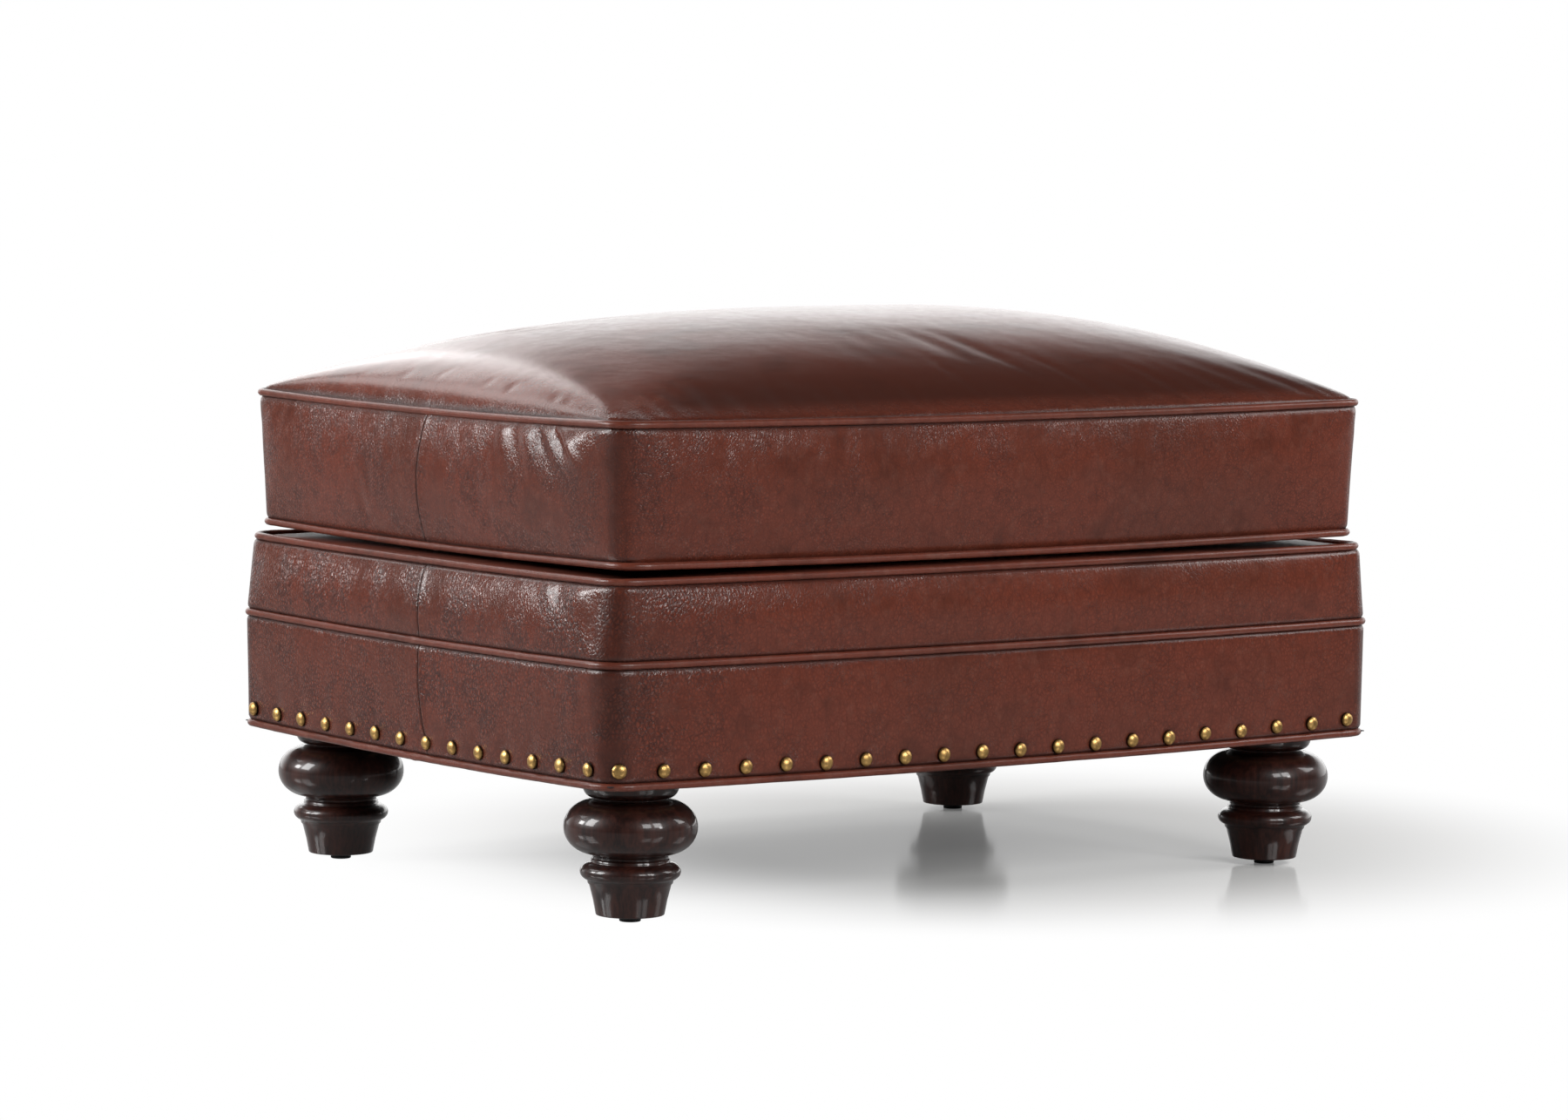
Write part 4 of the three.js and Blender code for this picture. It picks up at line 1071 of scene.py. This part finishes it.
def upright_wall(half_length, half_depth, low, high):
    """The four walls of a rounded block as a fine grid of faces."""
    mesh = rounded_block(half_length, half_depth, low, high, CORNER_RADIUS)
    caps = [face for face in mesh.faces if abs(face.normal.z) > 0.5]
    bmesh.ops.delete(mesh, geom=caps, context="FACES")
    for half in (half_length, half_depth):
        run = 2 * (half - CORNER_RADIUS)
        level = [edge for edge in mesh.edges if abs(edge.calc_length() - run) < MM
                 and abs(edge.verts[0].co.z - edge.verts[1].co.z) < MM]
        bmesh.ops.subdivide_edges(mesh, edges=level, cuts=round(2 * half / BAND_PITCH), use_grid_fill=True)
    uprights = [edge for edge in mesh.edges if abs(edge.verts[0].co.z - edge.verts[1].co.z) > MM]
    bmesh.ops.subdivide_edges(mesh, edges=uprights, cuts=BAND_ROWS, use_grid_fill=True)
    return mesh


def close_band(mesh):
    """Joins the top and bottom edge of a wall across its inside."""
    rims = [edge for edge in mesh.edges if edge.is_boundary]
    made = bmesh.ops.extrude_edge_only(mesh, edges=rims)["geom"]
    inner = [item for item in made if isinstance(item, bmesh.types.BMVert)]
    reach_x, reach_y = max(abs(vert.co.x) for vert in inner), max(abs(vert.co.y) for vert in inner)
    bmesh.ops.scale(mesh, vec=(1 - BAND_DEPTH / reach_x, 1 - BAND_DEPTH / reach_y, 1), verts=inner)
    rims = [edge for edge in mesh.edges if edge.is_boundary]
    bmesh.ops.bridge_loops(mesh, edges=rims)


def band_form(points, low_seam, high_seam, low, high, bulge, dice):
    """Pushes a plain wall out between its two seams, with shallow folds."""
    share = (points[:, 2] - low) / (high - low)
    rise = 0.5 - 0.5 * np.cos(np.pi * share)
    ways = middle_seam.outward(points)
    half_length = low_seam.half_length + (high_seam.half_length - low_seam.half_length) * rise
    half_depth = low_seam.half_depth + (high_seam.half_depth - low_seam.half_depth) * rise
    grow_x = half_length - middle_seam.half_length
    grow_y = half_depth - middle_seam.half_depth
    edge = np.minimum(rise, 1 - rise) * (high - low)
    belly = bulge * 4 * rise * (1 - rise) * middle_seam.fullness(points)
    out = BAND_STAND + belly - EDGE_ROLL * bell(edge, EDGE_ROLL_WIDTH)
    corner = middle_seam.cornerness(points[:, 0], points[:, 1])
    moved = points.copy()
    moved[:, 2] = low + (high - low) * rise
    moved[:, 2] += low_seam.rise(corner) * (1 - rise) + high_seam.rise(corner) * rise
    moved[:, 0] += np.sign(points[:, 0]) * np.abs(ways[:, 0]) * grow_x
    moved[:, 1] += np.sign(points[:, 1]) * np.abs(ways[:, 1]) * grow_y
    moved += ways * out[:, None]
    for _ in range(FOLD_COUNT):
        side = dice.choice((0, 1))
        reach = FOLD_REACH_LONG if side else FOLD_REACH_SHORT
        centre = dice.uniform(-reach, reach)
        facing = dice.choice((-1, 1))
        middle = dice.uniform(0.1, 0.9)
        depth = dice.uniform(-FOLD_DEPTH, FOLD_DEPTH)
        width = dice.uniform(FOLD_WIDTH_LEAST, FOLD_WIDTH_MOST)
        lean = dice.uniform(-FOLD_LEAN, FOLD_LEAN) * (high - low) * (rise - middle)
        onside = ways[:, side] * facing > 0.5
        push = depth * bell(moved[:, 1 - side] - centre - lean, width) * bell(rise - middle, FOLD_HEIGHT)
        moved += ways * (push * onside)[:, None]
    return moved


def dimple(points, nails):
    """Pulls the leather in at each nail, and less in a trail above it."""
    ways = bottom_edge.outward(points)
    for place, way in nails:
        offset = points - np.array(place)
        level = offset[:, 0] * -way.y + offset[:, 1] * way.x
        facing = (ways[:, 0] * way.x + ways[:, 1] * way.y) > 0.3
        pull = bell(np.hypot(level, offset[:, 2]), DIMPLE_WIDTH)
        trail = TRAIL_SHARE * bell(level, TRAIL_WIDTH) * bell(offset[:, 2], TRAIL_HEIGHT) * (offset[:, 2] > 0)
        points -= ways * (DIMPLE_DEPTH * (pull + trail) * facing)[:, None]


def make_band(name, low_seam, high_seam, bulge, seed, ridges=(), nails=()):
    """A closed leather band between two welts."""
    low = low_seam.height + BAND_UNDER_WELT
    high = high_seam.height - BAND_UNDER_WELT
    mesh = upright_wall(middle_seam.half_length, middle_seam.half_depth, low, high)
    cut_for_seam(mesh)
    points = np.array([vert.co for vert in mesh.verts])
    moved = band_form(points, low_seam, high_seam, low, high, bulge, random.Random(seed))
    side_seam(moved, 0, high)
    add_ridges(moved, ridges, high, -middle_seam.half_depth)
    bend_seam(moved)
    dimple(moved, nails)
    for vert, place in zip(mesh.verts, moved):
        vert.co = place
    close_band(mesh)
    band = finished(mesh, name, band_leather)
    paint_crevice_shade(band, (low_seam, high_seam), nails)
    print(name, "of", len(band.data.polygons), "faces")
    return band


upper_band = make_band("upper_band", middle_seam, deck_seam, UPPER_BULGE, 11, ridges=UPPER_BAND_RIDGES)
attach(upper_band, "base")
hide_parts("upper_band_front", "upper_band_back", "upper_padding")

lower_band = make_band("lower_band", bottom_edge, middle_seam, LOWER_BULGE, 23, nails=nails)
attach(lower_band, "base")
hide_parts("lower_band_front", "lower_band_back", "lower_padding")

# %% [markdown]
# A decorative nail is a pressed brass cap: the upper part of a flattened sphere with a short rim. Each one is
# made at the origin and moved to its place with a small turn and tilt of its own, as a hammer leaves it.

# %% Nail heads
NAIL_SIDES, NAIL_RINGS = 18, 12
NAIL_DOME = 3.6 * MM
NAIL_SINK = 1.2 * MM
NAIL_SEAT = 1.9 * MM
NAIL_TILT = 5
NAIL_UNEVEN = 0.03
NAIL_SLIP = 0.5 * MM
nail_dice = random.Random(5)


def make_nails(places):
    """All the nail heads as one piece. Each point stores how near the rim of its head it lies."""
    mesh = bmesh.new()
    rim_layer = mesh.verts.layers.float.new("rim")
    for place, way in places:
        before = set(mesh.verts)
        bmesh.ops.create_uvsphere(mesh, u_segments=NAIL_SIDES, v_segments=NAIL_RINGS, radius=NAIL_RADIUS)
        head = [vert for vert in mesh.verts if vert not in before]
        faces = {face for vert in head for face in vert.link_faces}
        edges = {edge for vert in head for edge in vert.link_edges}
        cut = bmesh.ops.bisect_plane(mesh, geom=[*head, *edges, *faces], plane_co=(0, 0, 0),
                                     plane_no=(0, 0, -1), clear_outer=True)
        head = [vert for vert in mesh.verts if vert not in before]
        rims = [item for item in cut["geom_cut"] if isinstance(item, bmesh.types.BMEdge)]
        bmesh.ops.scale(mesh, vec=(1, 1, NAIL_DOME / NAIL_RADIUS), verts=head)
        skirt = bmesh.ops.extrude_edge_only(mesh, edges=rims)["geom"]
        low = [item for item in skirt if isinstance(item, bmesh.types.BMVert)]
        bmesh.ops.translate(mesh, vec=(0, 0, -NAIL_SINK), verts=low)
        floor = [item for item in skirt if isinstance(item, bmesh.types.BMEdge) and item.is_boundary]
        bmesh.ops.contextual_create(mesh, geom=floor)
        head = [vert for vert in mesh.verts if vert not in before]
        for vert in head:
            vert[rim_layer] = (vert.co.xy.length / NAIL_RADIUS) ** 3
        tilt = Matrix.Rotation(math.radians(nail_dice.uniform(-NAIL_TILT, NAIL_TILT)), 4, "X")
        turn = Matrix.Rotation(nail_dice.uniform(0, math.pi), 4, "Z")
        grow = Matrix.Scale(nail_dice.uniform(1 - NAIL_UNEVEN, 1 + NAIL_UNEVEN), 4)
        face = way.to_track_quat("Z", "Y").to_matrix().to_4x4()
        slip = Vector((0, 0, nail_dice.uniform(-NAIL_SLIP, NAIL_SLIP)))
        sunk = place - way * (DIMPLE_DEPTH - NAIL_SEAT) + slip
        bmesh.ops.transform(mesh, matrix=Matrix.Translation(sunk) @ face @ tilt @ turn @ grow, verts=head)
    return finished(mesh, "band_nails", nail_brass)


band_nails = make_nails(nails)
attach(band_nails, "base")
print("nail heads of", len(band_nails.data.polygons), "faces")

# %% [markdown]
# The deck is the leather that the cushion lies on, over a low pad. It is a grid that rises gently to the
# middle and rolls down behind the deck welt, closed underneath by solidify.

# %% Deck
DECK_CELL = 8 * MM
DECK_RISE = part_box("deck_panel")[1].z - deck_seam.height
DECK_SINK = 0.3 * MM
DECK_CROWN_POWER, DECK_EDGE_POWER = 2.6, 0.6
DECK_CORNER_SQUEEZE, DECK_CORNER_POWER = 0.02, 12
DECK_THICKNESS = 2.0 * MM


def grid_over(node, cell):
    """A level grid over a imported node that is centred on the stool, and the node's highest corner."""
    low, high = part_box(node)
    mesh = bmesh.new()
    columns, rows = round((high.x - low.x) / cell), round((high.y - low.y) / cell)
    bmesh.ops.create_grid(mesh, x_segments=columns, y_segments=rows, size=1)
    bmesh.ops.scale(mesh, vec=(high.x, high.y, 1), verts=mesh.verts)
    return mesh, high


def make_deck():
    """The leather panel under the cushion."""
    mesh, high = grid_over("deck_panel", DECK_CELL)
    for vert in mesh.verts:
        u, v = abs(vert.co.x / high.x), abs(vert.co.y / high.y)
        fall = max(1 - u ** DECK_CROWN_POWER, 0) * max(1 - v ** DECK_CROWN_POWER, 0)
        vert.co.z = deck_seam.height + DECK_RISE * fall ** DECK_EDGE_POWER - DECK_SINK
        squeeze = 1 - DECK_CORNER_SQUEEZE * (u * v) ** DECK_CORNER_POWER
        vert.co.x *= squeeze
        vert.co.y *= squeeze
    piece = finished(mesh, "deck_leather_panel", deck_leather)
    modified(piece, "SOLIDIFY", thickness=DECK_THICKNESS, offset=-1)
    return piece


deck = make_deck()
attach(deck, "base")
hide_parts("deck_panel", "deck_pad")
print("deck of", len(deck.data.polygons), "faces")

# %% [markdown]
# A turned foot is a profile spun round its axis. From the floor it has a tapered cone, a ring, a neck, a
# round bulb, an upper neck and a bowl that opens to the flange under the frame. Small steps between these
# forms, called quirks, catch a thin line of light.

# %% Turned feet
FOOT_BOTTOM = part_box("foot_front_left")[0].z
FOOT_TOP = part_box("foot_front_left")[1].z
FOOT_SIDES, GLIDE_SIDES = 72, 32
QUIRK = 1.1 * MM
CONE_FOOT_RADIUS, CONE_MIDDLE_RADIUS, CONE_TOP_RADIUS = 27 * MM, 29.1 * MM, 32.2 * MM
RING_RADIUS, NECK_RADIUS, BULB_RADIUS, FLANGE_RADIUS = 39.5 * MM, 29.5 * MM, 52.5 * MM, 39 * MM
CONE_MIDDLE, CONE_TOP, RING_TOP, BULB_LOW, BULB_TOP = (
    FOOT_BOTTOM + height * MM for height in (12, 25, 41, 48, 90))
BOWL_HEIGHT, BOWL_SINK = 10 * MM, 7 * MM
FLANGE_EDGE, FLANGE_ROUND = 5 * MM, 6 * MM
GLIDE_RADIUS, GLIDE_HEIGHT, GLIDE_EDGE = 8.5 * MM, 5.0 * MM, 1.0 * MM


def arc(centre, across, up, start, end, steps):
    """Points of an ellipse, from one angle in degrees to another."""
    points = []
    for step in range(steps + 1):
        angle = math.radians(start + (end - start) * step / steps)
        points.append((centre[0] + across * math.cos(angle), centre[1] + up * math.sin(angle)))
    return points


def foot_profile():
    """Radius and height of the foot's outline, from its underside to its top."""
    neck, cone_foot, flange = NECK_RADIUS, CONE_FOOT_RADIUS - QUIRK, FLANGE_RADIUS
    ring_middle, ring_half = (CONE_TOP + RING_TOP) / 2 + QUIRK, (RING_TOP - CONE_TOP) / 2 - QUIRK
    bulb_middle, bulb_half = (BULB_LOW + BULB_TOP) / 2, (BULB_TOP - BULB_LOW) / 2
    return [
        (0, FOOT_BOTTOM), (cone_foot, FOOT_BOTTOM),
        *arc((cone_foot, FOOT_BOTTOM + QUIRK), QUIRK, QUIRK, -60, -10, 3),
        (CONE_MIDDLE_RADIUS, CONE_MIDDLE), (CONE_TOP_RADIUS, CONE_TOP - QUIRK),
        (CONE_TOP_RADIUS + QUIRK, CONE_TOP),
        *arc((neck + QUIRK, ring_middle), RING_RADIUS - neck - QUIRK, ring_half, -68, 78, 14),
        (neck + 2 * QUIRK, RING_TOP), (neck + QUIRK, RING_TOP + QUIRK),
        *arc((neck + 3 * QUIRK, (RING_TOP + BULB_LOW) / 2 + QUIRK), 3 * QUIRK, 2 * QUIRK, 240, 120, 6),
        *arc((neck, bulb_middle), BULB_RADIUS - neck, bulb_half, -80, 80, 26),
        *arc((neck + 3 * QUIRK, BULB_TOP + 1.6 * QUIRK), 3 * QUIRK, 1.4 * QUIRK, 240, 150, 5),
        *arc((neck + QUIRK, FOOT_TOP - BOWL_SINK), flange - neck - 2 * QUIRK, BOWL_HEIGHT, -82, -8, 10),
        (flange - QUIRK / 2, FOOT_TOP - FLANGE_ROUND), (flange, FOOT_TOP - FLANGE_EDGE),
        (flange, FOOT_TOP - QUIRK), (flange - QUIRK, FOOT_TOP), (0, FOOT_TOP),
    ]


def glide_profile():
    """Radius and height of the outline of a glide, which stands on the floor."""
    flat = GLIDE_RADIUS - GLIDE_EDGE
    return [(0, 0), (flat, 0), *arc((flat, GLIDE_EDGE), GLIDE_EDGE, GLIDE_EDGE, -60, 0, 3),
            (GLIDE_RADIUS, GLIDE_HEIGHT), (0, GLIDE_HEIGHT)]


def turned(profile, sides, centre, name, finish):
    """A closed piece spun from a profile that starts and ends on the axis, and moved to its place."""
    mesh = bmesh.new()
    verts = [mesh.verts.new((radius, 0, height)) for radius, height in profile]
    edges = [mesh.edges.new(pair) for pair in zip(verts, verts[1:])]
    bmesh.ops.spin(mesh, geom=[*verts, *edges], cent=(0, 0, 0), axis=(0, 0, 1), angle=2 * math.pi,
                   steps=sides, use_merge=True)
    bmesh.ops.remove_doubles(mesh, verts=mesh.verts, dist=SAME_PLACE)
    bmesh.ops.translate(mesh, vec=centre, verts=mesh.verts)
    return finished(mesh, name, finish)


def foot_centre(name):
    """The axis of a foot on the floor."""
    low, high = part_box(name)
    return Vector(((low.x + high.x) / 2, (low.y + high.y) / 2, 0))


for corner in ("front_left", "front_right", "back_left", "back_right"):
    centre = foot_centre(f"foot_{corner}")
    foot = turned(foot_profile(), FOOT_SIDES, centre, f"turned_foot_{corner}", foot_lacquer)
    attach(foot, "base")
    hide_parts(f"foot_{corner}")
    glide = turned(glide_profile(), GLIDE_SIDES, centre, f"moulded_glide_{corner}", glide_plastic)
    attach(glide, "base")
    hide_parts(f"glide_{corner}")
print("feet of", len(foot.data.polygons), "faces each")

# %% [markdown]
# Two sheets of cloth close the base: burlap over the springs, arched as they are, and a black cambric dust
# cover under the frame, cut out round the feet.

# %% Burlap and dust cover
BURLAP_CELL = 12 * MM
BURLAP_THICKNESS = 1.6 * MM
BURLAP_RISE = (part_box("burlap_insulator")[1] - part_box("burlap_insulator")[0]).z - 3 * MM
CAMBRIC_CELL = 7 * MM
CAMBRIC_THICKNESS = 0.8 * MM
CAMBRIC_SAG = 1.2 * MM
CUT_OUT_RADIUS = 40 * MM


def make_burlap():
    """Burlap that lies over the arch of the springs."""
    mesh, high = grid_over("burlap_insulator", BURLAP_CELL)
    for vert in mesh.verts:
        vert.co.z = high.z - BURLAP_RISE * (vert.co.y / high.y) ** 2
    piece = finished(mesh, "burlap_sheet", burlap_weave)
    modified(piece, "SOLIDIFY", thickness=BURLAP_THICKNESS, offset=-1)
    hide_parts("burlap_insulator")
    return piece


def make_dust_cover():
    """Cambric under the frame, cut out round the feet and sagging a little between them."""
    mesh, high = grid_over("dust_cover", CAMBRIC_CELL)
    centres = [foot_centre(name) for name in cad_nodes if name.startswith("foot_")]
    covered = [vert for vert in mesh.verts
               if any((vert.co.xy - centre.xy).length < CUT_OUT_RADIUS for centre in centres)]
    bmesh.ops.delete(mesh, geom=covered, context="VERTS")
    for vert in mesh.verts:
        u, v = vert.co.x / high.x, vert.co.y / high.y
        vert.co.z = high.z - CAMBRIC_SAG * (1 - u * u) * (1 - v * v)
    piece = finished(mesh, "cambric_cover", cambric_weave)
    modified(piece, "SOLIDIFY", thickness=CAMBRIC_THICKNESS, offset=-1)
    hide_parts("dust_cover")
    return piece


for sheet, slot in ((make_burlap(), "burlap"), (make_dust_cover(), "cambric")):
    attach(sheet, "base")
    print(sheet.name, len(sheet.data.polygons), "faces")
